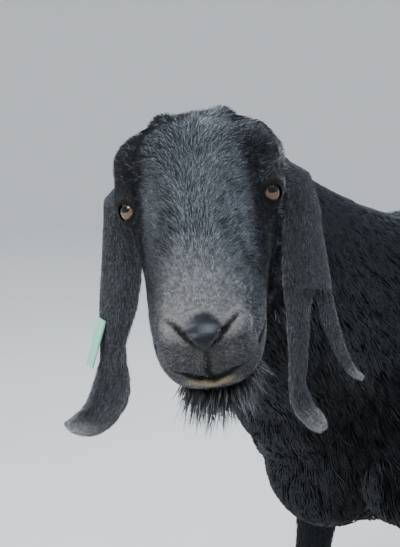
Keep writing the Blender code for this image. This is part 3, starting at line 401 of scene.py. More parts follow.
# The solids that the skin and the coat replace.
FLESH = (
    "head",
    "neck",
    "torso",
    "tail",
    "ear_left",
    "ear_right",
    "foreleg_left",
    "foreleg_right",
    "hindleg_left",
    "hindleg_right",
)

# The camera: turned from the face, over it and pitched down, in degrees, and its distance.
CAMERA_YAW = 3.0
CAMERA_RISE = 7.0
CAMERA_PITCH = 12.0
CAMERA_DISTANCE = 0.68
FOCAL_PIXELS = 800.0
IMAGE_HEIGHT = 547
SENSOR = 36.0

# The studio: a level floor, the cove that turns it up into a wall, and the gap under the hooves.
FLOOR_RADIUS = 6.5
COVE_RADIUS = 2.5
WALL_HEIGHT = 7.0
FLOOR_GAP = 0.0005
SKY = (0.86, 0.92, 1.0, 1)
SKY_STRENGTH = 1.1
# Lights: left of the eyes, ahead of them and above them; then size, power and colour.
LIGHTS = {
    "overhead": ((0.0, 0.7, 2.2), 1.6, 70, (0.86, 0.93, 1.0)),
    "side": ((-2.0, 1.5, 1.3), 1.0, 62, (1, 1, 1)),
    "rim": ((1.6, -2.2, 1.8), 1.5, 70, (0.80, 0.90, 1.0)),
    "glint": ((-0.5, 1.3, 1.0), 0.10, 2.5, (1, 1, 1)),
}


def hanging_axes():
    """Level directions ahead of the head and to its left, which hanging ears go by."""
    ahead = Vector((math.sin(HEAD_TURN), -math.cos(HEAD_TURN), 0))
    left = Vector((math.cos(HEAD_TURN), math.sin(HEAD_TURN), 0))
    return ahead, left


def hanging(ahead_of, left_of, above):
    """Turns a place in the hanging frame into the goat's frame."""
    ahead, left = hanging_axes()
    return EYES_MIDDLE + ahead * ahead_of + left * left_of + UP * above


def head_matrix():
    """Turns (forward, left, up) in the head's frame into the goat's frame."""
    ahead, left = hanging_axes()
    forward = ahead * math.cos(HEAD_NOD) - UP * math.sin(HEAD_NOD)
    roll = Matrix.Rotation(HEAD_ROLL, 3, ahead)
    axes = [roll @ forward, roll @ left, roll @ forward.cross(left)]
    matrix = Matrix(axes).transposed().to_4x4()
    matrix.translation = EYES_MIDDLE
    return matrix


def through(rows, count):
    """Reads a table at even steps along a smooth curve through its rows."""
    rows = np.array(rows, float)
    padded = np.vstack([2 * rows[0] - rows[1], rows, 2 * rows[-1] - rows[-2]])
    read = []
    for spot in np.linspace(0, len(rows) - 1, count):
        index = min(int(spot), len(rows) - 2)
        read.append(bent(padded[index : index + 4], spot - index))
    return np.array(read)


def bent(marks, t):
    """The point between the middle two of four marks on the smooth curve through them."""
    a, b, c, d = marks
    bend = (2 * a - 5 * b + 4 * c - d) * t**2 + (3 * b - a - 3 * c + d) * t**3
    return 0.5 * (2 * b + (c - a) * t + bend)


def ring_through(marks, around):
    """Points at even steps along a smooth closed curve through the marks."""
    marks = np.array(marks, float)
    points = []
    for spot in np.arange(around) * len(marks) / around:
        near = marks[(int(spot) + np.arange(-1, 3)) % len(marks)]
        points.append(bent(near, spot - int(spot)))
    return points


def new_object(name, data, matrix=None):
    """An object in the scene that holds a mesh, moved by the matrix first, a lamp or a camera."""
    if matrix is not None:
        data.transform(matrix)
    made = bpy.data.objects.new(name, data)
    bpy.context.scene.collection.objects.link(made)
    return made


def neighbours(rows, index):
    """The rows before and after one of a table, or that row itself at an end."""
    return rows[max(index - 1, 0)], rows[min(index + 1, len(rows) - 1)]


def finished_mesh(name, shape):
    """Turns a bmesh into a mesh, and lets the bmesh go."""
    mesh = bpy.data.meshes.new(name)
    shape.to_mesh(mesh)
    shape.free()
    return mesh


def from_bmesh(name, shape, matrix=None):
    """Turns a bmesh into an object of triangles with every face outwards."""
    bmesh.ops.triangulate(shape, faces=shape.faces)
    bmesh.ops.recalc_face_normals(shape, faces=shape.faces)
    if shape.calc_volume(signed=True) < 0:
        bmesh.ops.reverse_faces(shape, faces=shape.faces)
    return new_object(name, finished_mesh(name, shape), matrix)


def loft(name, rings, matrix=None):
    """A closed skin over rings of points, with a flat cap at each end."""
    shape = bmesh.new()
    made = [[shape.verts.new(point) for point in ring] for ring in rings]
    around = len(rings[0])
    for low, high in zip(made, made[1:]):
        for k in range(around):
            after = (k + 1) % around
            shape.faces.new((low[k], low[after], high[after], high[k]))
    shape.faces.new(made[0])
    shape.faces.new(made[-1])
    return from_bmesh(name, shape, matrix)


def oval(middle, across, over, half_across, rise, drop, around):
    """An oval ring with its own rise and drop about its middle."""
    ring = []
    for k in range(around):
        angle = 2 * math.pi * k / around
        height = rise if math.sin(angle) > 0 else drop
        reach = across * half_across * math.cos(angle)
        ring.append(middle + reach + over * height * math.sin(angle))
    return ring


def ball(name, middle, radii, matrix=None, segments=24, rings=14):
    shape = bmesh.new()
    bmesh.ops.create_uvsphere(shape, u_segments=segments, v_segments=rings, radius=1)
    place = Matrix.Translation(middle) @ Matrix.Diagonal((*radii, 1))
    bmesh.ops.transform(shape, matrix=place, verts=shape.verts)
    return from_bmesh(name, shape, matrix)


def balls(forms, across, matrix=None):
    """The named forms of a table; a form off the middle line is made on both sides."""
    made = []
    for name, (middle, radii) in forms.items():
        for side in SIDES.values() if middle[across] else (1,):
            spot = list(middle)
            spot[across] *= side
            made.append(ball(name, spot, radii, matrix))
    return made


def as_mesh(obj, name):
    """Replaces an object by its evaluated mesh, with its modifiers applied."""
    graph = bpy.context.evaluated_depsgraph_get()
    mesh = bpy.data.meshes.new_from_object(obj.evaluated_get(graph))
    bpy.data.objects.remove(obj)
    return new_object(name, mesh)


def kneaded(name, pieces, grain, smoothing):
    """Runs pieces together into one soft form, as clay."""
    shape = bmesh.new()
    for piece in pieces:
        shape.from_mesh(piece.data)
        bpy.data.objects.remove(piece)
    clay = new_object("clay", finished_mesh("clay", shape))
    remesh = clay.modifiers.new("Knead", "REMESH")
    remesh.mode = "VOXEL"
    remesh.voxel_size = grain
    smooth = clay.modifiers.new("Smooth", "SMOOTH")
    smooth.factor = 0.5
    smooth.iterations = smoothing
    return as_mesh(clay, name)


def thinned(obj, triangles):
    """Leaves about that many triangles."""
    name = obj.name
    now = sum(len(face.vertices) - 2 for face in obj.data.polygons)
    thin = obj.modifiers.new("Thin", "DECIMATE")
    thin.ratio = min(1.0, triangles / now)
    thin.use_collapse_triangulate = True
    obj.name = "thinned"
    return as_mesh(obj, name)


def boolean(obj, others, operation):
    """Applies one Boolean with all the other objects at once, and removes those."""
    name = obj.name
    tools = bpy.data.collections.new("tools")
    bpy.context.scene.collection.children.link(tools)
    for tool in others:
        bpy.context.scene.collection.objects.unlink(tool)
        tools.objects.link(tool)
    step = obj.modifiers.new(operation, "BOOLEAN")
    step.operation = operation
    step.solver = "MANIFOLD"
    step.operand_type = "COLLECTION"
    step.collection = tools
    obj.name = "before"
    made = as_mesh(obj, name)
    for tool in others:
        bpy.data.objects.remove(tool)
    bpy.data.collections.remove(tools)
    return made


def half_space(point, normal, size=3.0):
    """A large box on the side of the plane that its normal points to."""
    turn = normal.to_track_quat("Z", "X").to_matrix().to_4x4()
    place = Matrix.Translation(point) @ turn @ Matrix.Translation((0, 0, size / 2))
    shape = bmesh.new()
    bmesh.ops.create_cube(shape, size=size)
    return from_bmesh("half_space", shape, place)


def tube(name, points, radii, sides=6):
    """A closed wire along points, with its own radius at each."""
    rings = []
    across = (points[1] - points[0]).orthogonal()
    for index, (point, radius) in enumerate(zip(points, radii)):
        before, after = neighbours(points, index)
        along = (after - before).normalized()
        across = (across - along * across.dot(along)).normalized()
        rings.append(oval(point, across, along.cross(across), radius, radius, radius, sides))
    return loft(name, rings)


def along_rings(rows, around, across_of):
    """Ovals square to a path whose rows hold x, y, z, half depth and half width."""
    rings = []
    for index, row in enumerate(rows):
        before, after = neighbours(rows, index)
        along = Vector(after[:3] - before[:3]).normalized()
        across = across_of(along)
        over = along.cross(across)
        rings.append(oval(Vector(row[:3]), across, over, row[4], row[3], row[3], around))
    return rings


def trunk(steps=40, around=32):
    rings = []
    for y, middle, rise, drop, half in through(TRUNK, steps):
        rings.append(oval(Vector((0, y, middle)), Vector((1, 0, 0)), UP, half, rise, drop, around))
    return loft("trunk", rings)


def neck(first=0, steps=24, around=28):
    rows = through(NECK, steps)[first:]
    return loft("neck", along_rings(rows, around, lambda along: UP.cross(along).normalized()))


def leg(table, side, steps=44, around=18):
    rings = []
    across, over = Vector((1, 0, 0)), Vector((0, 1, 0))
    for x, y, z, half, depth in through(table, steps):
        rings.append(oval(Vector((x * side, y, z)), across, over, half, depth, depth, around))
    return loft("leg", rings)


def tail(steps=14, around=12):
    rows = through([(x, y, z, depth, half) for x, y, z, half, depth in TAIL], steps)
    return loft("tail", along_rings(rows, around, lambda along: Vector((1, 0, 0))))


def face(steps=44, around=40):
    """The skull and muzzle: a smooth ring through the marks of each section."""
    rings = []
    for row in through(FACE, steps):
        left = [(row[k], row[k + 1]) for k in (2, 4, 6, 8)]
        right = [(-across, up) for across, up in reversed(left)]
        marks = [(0, row[1]), *left, (0, row[10]), *right]
        rings.append([Vector((row[0], l, u)) for l, u in ring_through(marks, around)])
    return loft("face", rings, head_matrix())


def skull_clay():
    """The face and the forms that are laid on it."""
    return [face()] + balls(FACE_FORMS, 1, head_matrix())


def eye_place(side):
    """The eye's own frame: along the lids, over them, and out of the head."""
    out = Vector((EYE_AXIS.x, EYE_AXIS.y * side, EYE_AXIS.z))
    along = Vector((1, 0, 0.75)) * side
    along = (along - out * along.dot(out)).normalized()
    turn = Matrix((along, out.cross(along), out)).transposed().to_4x4()
    middle = Vector((EYE_SPOT.x, EYE_SPOT.y * side, EYE_SPOT.z))
    return head_matrix() @ Matrix.Translation(middle) @ turn


def lid_curve(angle, lid, spread):
    """A point of the almond between the lids, seen along the eye's axis."""
    x = math.cos(angle) * (LID_LENGTH / 2 + spread)
    y = lid * math.sin(angle) ** 1.3 * (LID_OPENING / 2 + spread)
    return x, y


def lid_opening(side):
    """The almond between the lids, pushed right through them."""
    angles = [math.pi * k / 8 for k in range(9)]
    almond = [lid_curve(angle, 1, 0) for angle in angles]
    almond += [lid_curve(angle, -1, 0) for angle in reversed(angles[1:-1])]
    rings = [[Vector((x, y, depth)) for x, y in almond] for depth in (0.002, 0.05)]
    return loft("lid_opening", rings, eye_place(side))


def lid_rims(side):
    """The swollen edges of the upper and the lower lid."""
    rims = []
    for lid in (1, -1):
        points, radii = [], []
        for k in range(9):
            angle = math.pi * k / 8
            x, y = lid_curve(angle, lid, LID_RIM * 0.5)
            depth = math.sqrt((EYE_RADIUS + LID_RIM * 0.7) ** 2 - x * x - y * y)
            points.append(eye_place(side) @ Vector((x, y, depth)))
            radii.append(LID_RIM * (0.5 + 0.5 * math.sin(angle)))
        rims.append(tube("lid_rim", points, radii))
    return rims


def groove(surface, guide, side, steps=10):
    """A cutter along guide points that are laid on a surface."""
    rows = through(guide, steps)
    points = []
    for row in rows:
        spot = head_matrix() @ Vector((row[0], row[1] * side, row[2]))
        points.append(surface.closest_point_on_mesh(spot)[1])
    return tube("groove", points, [row[3] for row in rows])


def way_to_tip(table, index):
    """Which way an ear runs on at one of its rows."""
    before, after = neighbours(table, index)
    ahead = hanging(*after[:3]) + hanging(*after[3:6])
    return ahead - hanging(*before[:3]) - hanging(*before[3:6])


def ear_row(row, along, side, spots):
    """Points across one row of an ear, from the edge by the cheek to the outer edge."""
    inner, outer = hanging(*row[:3]), hanging(*row[3:6])
    across = (outer - inner).normalized()
    cup = along.cross(across).normalized() * side
    points = []
    for spot in spots:
        bow = (1 - (2 * spot - 1) ** 2) * row[6]
        points.append(inner.lerp(outer, spot) + cup * bow)
    return points


def ear_rows(shape, rows, strips, side):
    """Lays the rows of an ear as new points of a sheet."""
    table = through(rows, len(rows))
    spots = np.linspace(0, 1, strips + 1)
    made = []
    for index, row in enumerate(table):
        points = ear_row(row, way_to_tip(table, index), side, spots)
        made.append([shape.verts.new(point) for point in points])
    return made


def ear(name, side, top, lobes):
    """A cupped sheet from the root to its tips, thickened into a closed body.

    A lobe holds the first and the last strip of the sheet that run on into it, and its rows.
    """
    shape = bmesh.new()
    upper = ear_rows(shape, top, EAR_ACROSS, side)
    sheets = [upper]
    for first, last, rows in lobes:
        lobe = ear_rows(shape, rows, last - first, side)
        sheets.append([upper[-1][first : last + 1]] + lobe)
    for sheet in sheets:
        for low, high in zip(sheet, sheet[1:]):
            for k in range(len(low) - 1):
                shape.faces.new((low[k], low[k + 1], high[k + 1], high[k]))
    bmesh.ops.recalc_face_normals(shape, faces=shape.faces)
    sheet = new_object("sheet", finished_mesh("sheet", shape))
    thicken = sheet.modifiers.new("Thicken", "SOLIDIFY")
    thicken.thickness = EAR_THICKNESS
    thicken.offset = 0
    made = as_mesh(sheet, "thick")
    shape = bmesh.new()
    shape.from_mesh(made.data)
    bpy.data.objects.remove(made)
    return from_bmesh(name, shape)


def right_ear(name):
    return ear(name, -1, RIGHT_EAR[:6], [(0, EAR_ACROSS, RIGHT_EAR[6:])])


def left_ear(name):
    lobes = [(0, LEFT_EAR_SPLIT, LEFT_EAR_FRONT), (LEFT_EAR_SPLIT, EAR_ACROSS, LEFT_EAR_BACK)]
    return ear(name, 1, LEFT_EAR, lobes)


def latch_plane():
    """Where the head is parted from the neck: a point, and the normal towards the head."""
    point = head_matrix() @ NECK_LATCH
    return point, (head_matrix().to_3x3() @ NECK_LATCH_NORMAL).normalized()


def smoothstep(values, low, high):
    """Goes from 0 to 1 as the values go from low to high, or the other way about."""
    share = np.clip((values - low) / (high - low), 0, 1)
    return share * share * (3 - 2 * share)


def unit(vectors):
    return vectors / np.maximum(np.linalg.norm(vectors, axis=-1, keepdims=True), 1e-9)


def read(items, name, width, kind=float):
    """What a mesh's points, edges or corners hold under a name, in rows of that width."""
    values = np.empty(len(items) * width, dtype=kind)
    items.foreach_get(name, values)
    return values.reshape(-1, width)


def toward(values, target, share):
    """Takes each vertex's value, or row of values, from what it is to the target by a share."""
    if np.ndim(values) == 2:
        share = share[:, None]
    return values + share * (target - values)


def directions(forward, left, up):
    """A direction for each vertex, of parts that may be the same for all."""
    return np.stack(np.broadcast_arrays(forward, left, up), axis=1)


def evened(values, edges, rounds):
    """Averages each vertex's value with its neighbours' a number of times."""
    low, high = edges.T
    count = np.bincount(edges.ravel(), minlength=len(values))
    for _ in range(rounds):
        flat = values.reshape(len(values), -1)
        total = np.empty_like(flat)
        for column in range(flat.shape[1]):
            total[:, column] = np.bincount(low, flat[high, column], len(values))
            total[:, column] += np.bincount(high, flat[low, column], len(values))
        mean = total / np.maximum(count, 1)[:, None]
        values = (0.5 * flat + 0.5 * mean).reshape(values.shape)
    return values


def in_head(points):
    """Turns places into the head's own forward, left and up, which are called f, l and u."""
    turn = np.array(head_matrix().to_3x3())
    return (points - np.array(EYES_MIDDLE)) @ turn


def from_head(vectors):
    """Turns directions in the head's frame into the goat's."""
    return np.asarray(vectors) @ np.array(head_matrix().to_3x3()).T


def ear_guides(rows_of_lobes):
    """Marks on an ear's sheet: place, way to the tip, share across and share of the length."""
    places, ways, across, shares = [], [], [], []
    spots = np.linspace(0, 1, 13)
    for rows, first, last, low, high in rows_of_lobes:
        table = through(rows, (len(rows) - 1) * 4 + 1)
        for index, row in enumerate(table):
            way = way_to_tip(table, index)
            side = 1 if row[1] > 0 else -1
            for spot, point in zip(spots, ear_row(row, way, side, spots)):
                places.append(point)
                ways.append(way.normalized())
                across.append(first + (last - first) * spot)
                shares.append(low + (high - low) * index / (len(table) - 1))
    return np.array(places), np.array(ways), np.array(across), np.array(shares)


def sorted_places(places):
    """A tree that finds the nearest of many places."""
    tree = KDTree(len(places))
    for index, place in enumerate(places):
        tree.insert(place, index)
    tree.balance()
    return tree


def ear_marks(points, near):
    """For the points near the ears: how much each is ear, which ear, and its guide's values."""
    right = ear_guides([(RIGHT_EAR, 0, 1, 0, 1)])
    split = LEFT_EAR_SPLIT / EAR_ACROSS
    lobes = [(LEFT_EAR, 0, 1, 0, 0.45), (LEFT_EAR_FRONT, 0, split, 0.45, 1)]
    left = ear_guides(lobes + [(LEFT_EAR_BACK, split, 1, 0.45, 1)])
    size = len(points)
    marks = {
        "ear": np.zeros(size),
        "side": np.zeros(size),
        "way": np.zeros((size, 3)),
        "across": np.zeros(size),
        "along": np.zeros(size),
    }
    for side, (places, ways, across, shares) in ((-1, right), (1, left)):
        tree = sorted_places(places)
        for spot in near:
            _, index, distance = tree.find(points[spot])
            if distance > EAR_REACH:
                continue
            marks["ear"][spot] = smoothstep(distance, EAR_REACH, EAR_REACH * 0.55)
            marks["side"][spot] = side
            marks["way"][spot] = ways[index]
            marks["across"][spot] = across[index]
            marks["along"][spot] = shares[index]
    return marks


def lid_folds(side):
    """A heavy fold over the upper lid and a slight one under the lower."""
    folds = []
    for lid, spread, radius in ((-1, 0.0050, 0.0026), (1, 0.0060, 0.0014)):
        points, radii = [], []
        for k in range(1, 12):
            angle = math.pi * k / 12
            x, y = lid_curve(angle, lid, spread)
            depth = math.sqrt((EYE_RADIUS + LID_COVER) ** 2 - min(x * x + y * y, 0.00022))
            points.append(eye_place(side) @ Vector((x, y, depth)))
            radii.append(radius * (0.3 + 0.7 * math.sin(angle)))
        folds.append(tube("lid_fold", points, radii))
    return folds


def deep_groove(head, guide, side, width, depth):
    """A groove and a copy of it further in, so that its bottom lies in shadow."""
    slit = groove(head, [(*row[:3], row[3] * width) for row in guide], side, 24)
    inward = head_matrix().to_3x3() @ Vector((depth.x, depth.y * side, depth.z))
    return [slit, new_object("hollow", slit.data.copy(), Matrix.Translation(inward))]


def head_skin():
    """The head with ears, lids, nostrils and mouth, down to where the neck takes over."""
    pieces = skull_clay() + balls(SKIN_FORMS, 1, head_matrix()) + [neck(NECK_END)]
    pieces += [right_ear("ear"), left_ear("ear")]
    for side in SIDES.values():
        radii = (EYE_RADIUS + LID_COVER,) * 3
        pieces.append(ball("lid_cover", (0, 0, 0), radii, eye_place(side)))
        pieces += lid_folds(side)
    head = kneaded("head", pieces, HEAD_GRAIN, 4)
    cutters = [groove(head, PHILTRUM, 1)]
    for side in SIDES.values():
        cutters += deep_groove(head, NOSTRIL, side, 0.70, NOSTRIL_DEPTH)
        cutters += deep_groove(head, MOUTH, side, 1.0, MOUTH_DEPTH)
        cutters += [lid_opening(side), ball("socket", (0, 0, 0), (EYE_RADIUS,) * 3, eye_place(side))]
    head = boolean(head, cutters, "DIFFERENCE")
    rims = [rim for side in SIDES.values() for rim in lid_rims(side)]
    head = kneaded("head", [head] + rims, HEAD_GRAIN * 0.9, 2)
    return thinned(head, HEAD_TRIANGLES)


def body_skin():
    pieces = [trunk(), neck(), tail()] + skull_clay() + balls(TRUNK_FORMS, 0)
    for side in SIDES.values():
        pieces += [leg(FORELEG, side), leg(HINDLEG, side)]
    return thinned(kneaded("body", pieces, BODY_GRAIN, 14), BODY_TRIANGLES)


def whole_skin():
    """Head and body in one closed skin, joined where the head meets the neck."""
    point, normal = latch_plane()
    head = boolean(head_skin(), [half_space(point - normal * NECK_OVERLAP, normal)], "INTERSECT")
    body = boolean(body_skin(), [half_space(point, -normal)], "INTERSECT")
    whole = boolean(head, [body], "UNION")
    shape = bmesh.new()
    shape.from_mesh(whole.data)
    bmesh.ops.triangulate(shape, faces=shape.faces)
    shape.to_mesh(whole.data)
    shape.free()
    return whole


def slit_marks(skin, points, near):
    """How far each vertex lies in the nostrils, mouth or philtrum, and its distance from them."""
    places, reaches = [], []
    for guide, margin in ((NOSTRIL, -0.0004), (MOUTH, 0.0011), (PHILTRUM, 0.0006)):
        for side in SIDES.values():
            for row in through(guide, 40):
                spot = head_matrix() @ Vector((row[0], row[1] * side, row[2]))
                places.append(skin.closest_point_on_mesh(spot)[1])
                reaches.append(row[3] + margin)
    tree = sorted_places(places)
    share, off = np.zeros(len(points)), np.ones(len(points))
    for spot in near:
        _, index, off[spot] = tree.find(points[spot])
        share[spot] = smoothstep(off[spot], reaches[index] * 1.2, reaches[index] * 0.8)
    return share, off


def off_eyes(points):
    """How far out of the lids' almond each vertex lies, as a multiple of its size."""
    nearest = np.full(len(points), FAR_OFF)
    for side in SIDES.values():
        turned = eye_place(side).inverted()
        spots = points @ np.array(turned.to_3x3()).T + np.array(turned.translation)
        long, high = LID_LENGTH / 2 + LID_MARGIN, LID_OPENING / 2 + LID_MARGIN
        off = np.hypot(spots[:, 0] / long, spots[:, 1] / high)
        nearest = np.minimum(nearest, np.where(spots[:, 2] > 0, off, FAR_OFF))
    return nearest


def skin_marks(skin):
    """Where each vertex lies: shares of head, ear, leg, neck and tail, and places in the head."""
    mesh = skin.data
    points = read(mesh.vertices, "co", 3)
    local = in_head(points)
    apart = np.linalg.norm(points - np.array(EYES_MIDDLE), axis=1)
    marks = ear_marks(points, np.flatnonzero(apart < EARS_WITHIN))
    near_muzzle = np.flatnonzero(local[:, 0] > MUZZLE_START)
    marks["slit"], marks["off_slit"] = slit_marks(skin, points, near_muzzle)
    marks["off_eye"] = off_eyes(points)
    marks["lid"] = smoothstep(marks["off_eye"], 1.15, 1.00)
    x, y, z = points.T
    ear = marks["ear"]
    marks["points"] = points
    marks["normals"] = read(mesh.vertex_normals, "vector", 3)
    marks["local"] = local
    head = smoothstep(local[:, 0], -0.130, -0.080) * smoothstep(apart, 0.215, 0.185)
    marks["head"] = np.maximum(head, ear)
    off_leg = np.abs(x) > 0.035
    marks["leg"] = smoothstep(z, 0.58, 0.47) * off_leg
    marks["tail"] = smoothstep(y, 0.500, 0.530) * (z > 0.74)
    marks["neck"] = smoothstep(y + 0.35 * (z - 0.75), -0.26, -0.42) * (z > 0.5)
    marks["neck"] *= 1 - marks["head"]
    return marks


def lie_of_hair(marks):
    """Which way the hair points all over the goat."""
    points, local, normals = marks["points"], marks["local"], marks["normals"]
    x, y, _ = points.T
    f, l, u = local.T
    # Back along the trunk and downwards at both its ends, along the neck, the legs and the tail.
    front = smoothstep(-y, 0.10, 0.42)
    rear = smoothstep(y, 0.20, 0.46)
    belly = smoothstep(normals[:, 2], -0.3, -0.8)
    downward = -(0.35 + 0.8 * front + 0.9 * rear)
    body = directions(0.25 * normals[:, 0], 1.0 - 0.5 * front - 0.6 * rear, downward)
    body = body + belly[:, None] * np.array([0, 1.2, 0.2])
    along_neck = unit(np.array([-0.12, 0.42, -0.34]))
    neck_lie = along_neck + directions(0.3 * normals[:, 0], 0.0, -0.45)
    lie = toward(body, 2.2 * unit(neck_lie), marks["neck"])
    lie = toward(lie, np.array([0, 0.25, -1]), marks["leg"])
    along_tail = directions(0.3 * np.sign(x), 1.0, 0.3 - 1.6 * smoothstep(y, 0.57, 0.63))
    lie = toward(lie, along_tail, marks["tail"])

    # Up the face to the sides, back over the cheeks, fanned out on the crown, away from the eyes.
    sides = smoothstep(np.abs(l), 0.018, 0.045)
    upward = smoothstep(u, -0.02, 0.03)
    out = np.sign(l) * smoothstep(np.abs(l), 0.0, 0.030)
    bridge, cheek = directions(-0.75, out, 0.1), directions(-0.55, 0.25 * out, -0.95)
    face_lie = toward(bridge, cheek, sides * (1 - 0.55 * upward))
    crown = smoothstep(f, -0.015, -0.06) * upward
    face_lie = toward(face_lie, directions(-1.0, 1.1 * out, 0.35), crown)
    jaw = smoothstep(u, -0.045, -0.06)
    face_lie = from_head(toward(face_lie, np.array([-0.8, 0, -0.5]), jaw))
    lips = smoothstep(f, 0.150, 0.166) * smoothstep(u, 0.004, -0.004)
    face_lie = toward(face_lie, from_head(directions(-0.3, 0.9 * np.sign(l), -0.5)), lips)
    for side in SIDES.values():
        away = unit(points - np.array(eye_place(side).translation))
        share = smoothstep(marks["off_eye"], 2.4, 1.2) * (l * side > 0)
        face_lie = toward(face_lie, 1.3 * away, share)
    lie = toward(lie, unit(face_lie), marks["head"])
    lie = unit(toward(lie, marks["way"], marks["ear"]))
    return lie - normals * np.sum(lie * normals, axis=1, keepdims=True)


def hang_of_hair(marks):
    """Which way the beard's hairs point: down, and a little off the skin."""
    return unit(np.array([0, 0, -1.0]) + from_head((0.10, 0, 0)) + 0.45 * marks["normals"])


def beard_share(marks):
    f, l, u = marks["local"].T
    place = smoothstep(f, 0.085, 0.105) * smoothstep(f, 0.172, 0.164)
    return place * smoothstep(u, -0.038, -0.045) * smoothstep(np.abs(l - 0.004), 0.030, 0.022)


def crown_share(marks):
    f, _, u = marks["local"].T
    return smoothstep(f, -0.030, -0.065) * smoothstep(u, -0.01, 0.02) * (1 - marks["ear"])


def hair_sizes(marks):
    """Length, rise and growth of the hair, each for every vertex."""
    points, normals, leg, head = marks["points"], marks["normals"], marks["leg"], marks["head"]
    _, y, z = points.T
    f, _, u = marks["local"].T
    belly = smoothstep(normals[:, 2], -0.3, -0.8)
    length = HAIR_LENGTH["trunk"] - 0.018 * belly
    length += 0.012 * smoothstep(normals[:, 2], 0.75, 0.97) * smoothstep(z, 0.75, 0.85)
    chest = smoothstep(y, -0.30, -0.40) * smoothstep(z, 0.92, 0.75)
    length = toward(length, HAIR_LENGTH["neck"] + 0.014 * chest, marks["neck"])
    near_head = smoothstep(np.linalg.norm(points - np.array(EYES_MIDDLE), axis=1), 0.32, 0.17)
    length = toward(length, HAIR_LENGTH["nape"], marks["neck"] * near_head)
    rise = length * 0.17
    low = smoothstep(z, 0.42, 0.30)
    fetlock = smoothstep(np.abs(z - 0.10), 0.035, 0.0)
    leg_length = HAIR_LENGTH["leg"] - 0.014 * low + 0.008 * fetlock
    length, rise = toward(length, leg_length, leg), toward(rise, 0.0035 - 0.0012 * low, leg)
    length = toward(length, HAIR_LENGTH["tail"], marks["tail"])
    rise = toward(rise, 0.007, marks["tail"])

    crown = crown_share(marks)
    cheek = smoothstep(f, 0.05, -0.03) * smoothstep(u, 0.0, -0.03)
    muzzle = smoothstep(f, 0.10, 0.15)
    face_length = HAIR_LENGTH["face"] + 0.009 * crown + 0.006 * cheek - 0.0085 * muzzle
    face_rise = 0.0030 + 0.0030 * crown + 0.0018 * cheek - 0.0017 * muzzle
    short = 0.25 + 0.75 * smoothstep(marks["off_slit"], 0.003, 0.014)
    short = short * (0.28 + 0.72 * smoothstep(marks["off_eye"], 1.2, 2.6))
    face_length = face_length * short
    face_rise = face_rise * (0.4 + 0.6 * short)
    face_length = toward(face_length, HAIR_LENGTH["beard"], beard_share(marks))
    length, rise = toward(length, face_length, head), toward(rise, face_rise, head)
    rim = smoothstep(np.abs(2 * marks["across"] - 1), 0.7, 1.0)
    length = toward(length, HAIR_LENGTH["ear"] + 0.003 * rim, marks["ear"])
    rise = toward(rise, 0.0012 + 0.0008 * rim, marks["ear"])
    growth = 1 - np.maximum.reduce([bare_share(marks), marks["slit"], marks["lid"]])
    return length, rise, np.clip(growth, 0, 1)


def bare_share(marks):
    """How much of the skin is bare: the pad of the nose."""
    f, l, u = marks["local"].T
    pad = np.hypot(l / 0.0155, (f - 0.1610) / 0.0115)
    bare = smoothstep(pad, 1.10, 0.80) * smoothstep(u, -0.003, 0.001)
    return bare * marks["head"] * (1 - marks["slit"])


def coat_colours(marks):
    """The coat's colour, with painted light on the bridge's edge and painted shade in the grooves, and
    how many of its hairs are pale, for every vertex.
    """
    points, head, ear = marks["points"], marks["head"], marks["ear"]
    f, l, u = marks["local"].T
    colour = np.tile(np.array(BLACK), (len(points), 1))
    frost = np.zeros(len(points))

    def mark(name, share):
        nonlocal colour, frost
        tone, pale = MARKINGS[name]
        colour, frost = toward(colour, tone, share), toward(frost, pale, share)

    face = head * (1 - ear)
    mark("face", face * 0.8)
    bridge = smoothstep(np.abs(l), 0.042, 0.018) * smoothstep(u, 0.0, 0.02)
    mark("bridge", face * bridge * smoothstep(f, -0.03, 0.03))
    fore = smoothstep(f, 0.01, -0.02) * smoothstep(f, -0.065, -0.035) * smoothstep(u, 0.01, 0.03)
    mark("forehead", face * fore * smoothstep(np.abs(l), 0.050, 0.025) * 0.8)
    mark("crown", face * crown_share(marks))
    # Both edges of the bridge are frosted; the one on the goat's right (l < 0) is made paler than the
    # other, painted light from that side.
    edge = np.exp(-(((f - 0.055) / 0.040) ** 2) - ((np.abs(l) - 0.033) / 0.007) ** 2)
    mark("bridge_edge_frost_and_painted_light", face * edge * np.where(l < 0, 0.9, 0.5))
    cheek = smoothstep(np.abs(l), 0.038, 0.050) * smoothstep(f, 0.10, 0.07)
    mark("cheek", face * cheek * 0.8)
    muzzle = smoothstep(f, 0.090, 0.135)
    mark("muzzle", face * muzzle * 0.85)
    top = muzzle * smoothstep(u, 0.000, 0.012) * smoothstep(np.abs(l), 0.036, 0.024)
    mark("muzzle_top", face * top * 0.85)
    lip_side = muzzle * smoothstep(u, -0.004, -0.016) * smoothstep(np.abs(l), 0.014, 0.028)
    mark("lip_side", face * lip_side * 0.6)
    mark("chin", face * smoothstep(u, -0.034, -0.040) * smoothstep(f, 0.06, 0.12))
    lower = smoothstep(f, 0.145, 0.155) * smoothstep(np.abs(u + 0.0305), 0.0055, 0.0030)
    mark("lower_lip", face * lower * smoothstep(np.abs(l), 0.021, 0.014))
    socket = np.exp(-(((f + 0.004) / 0.030) ** 2) - ((u - 0.004) / 0.024) ** 2)
    mark("eye_socket", face * socket * smoothstep(np.abs(l), 0.036, 0.046) * 0.9)
    mark("lids", marks["lid"])
    mark("beard", head * beard_share(marks))
    mark("ear", ear * 0.9)
    rim = smoothstep(np.abs(2 * marks["across"] - 1), 0.72, 0.97)
    mark("ear_rim", ear * rim * 0.8)
    tip = smoothstep(marks["along"], 0.80, 0.95)
    mark("ear_tip", ear * tip * 0.85)
    leg = marks["leg"] * smoothstep(points[:, 2], 0.30, 0.08)
    mark("foot", leg * 0.6)
    # The grooves of the nostrils, mouth and philtrum are painted near-black, as painted shade in them.
    return toward(colour, PAINTED_SLIT_SHADE, marks["slit"]), frost


def cell(u, v, corner, size):
    return np.stack([corner[0] + size[0] * u, corner[1] + size[1] * v], axis=1)


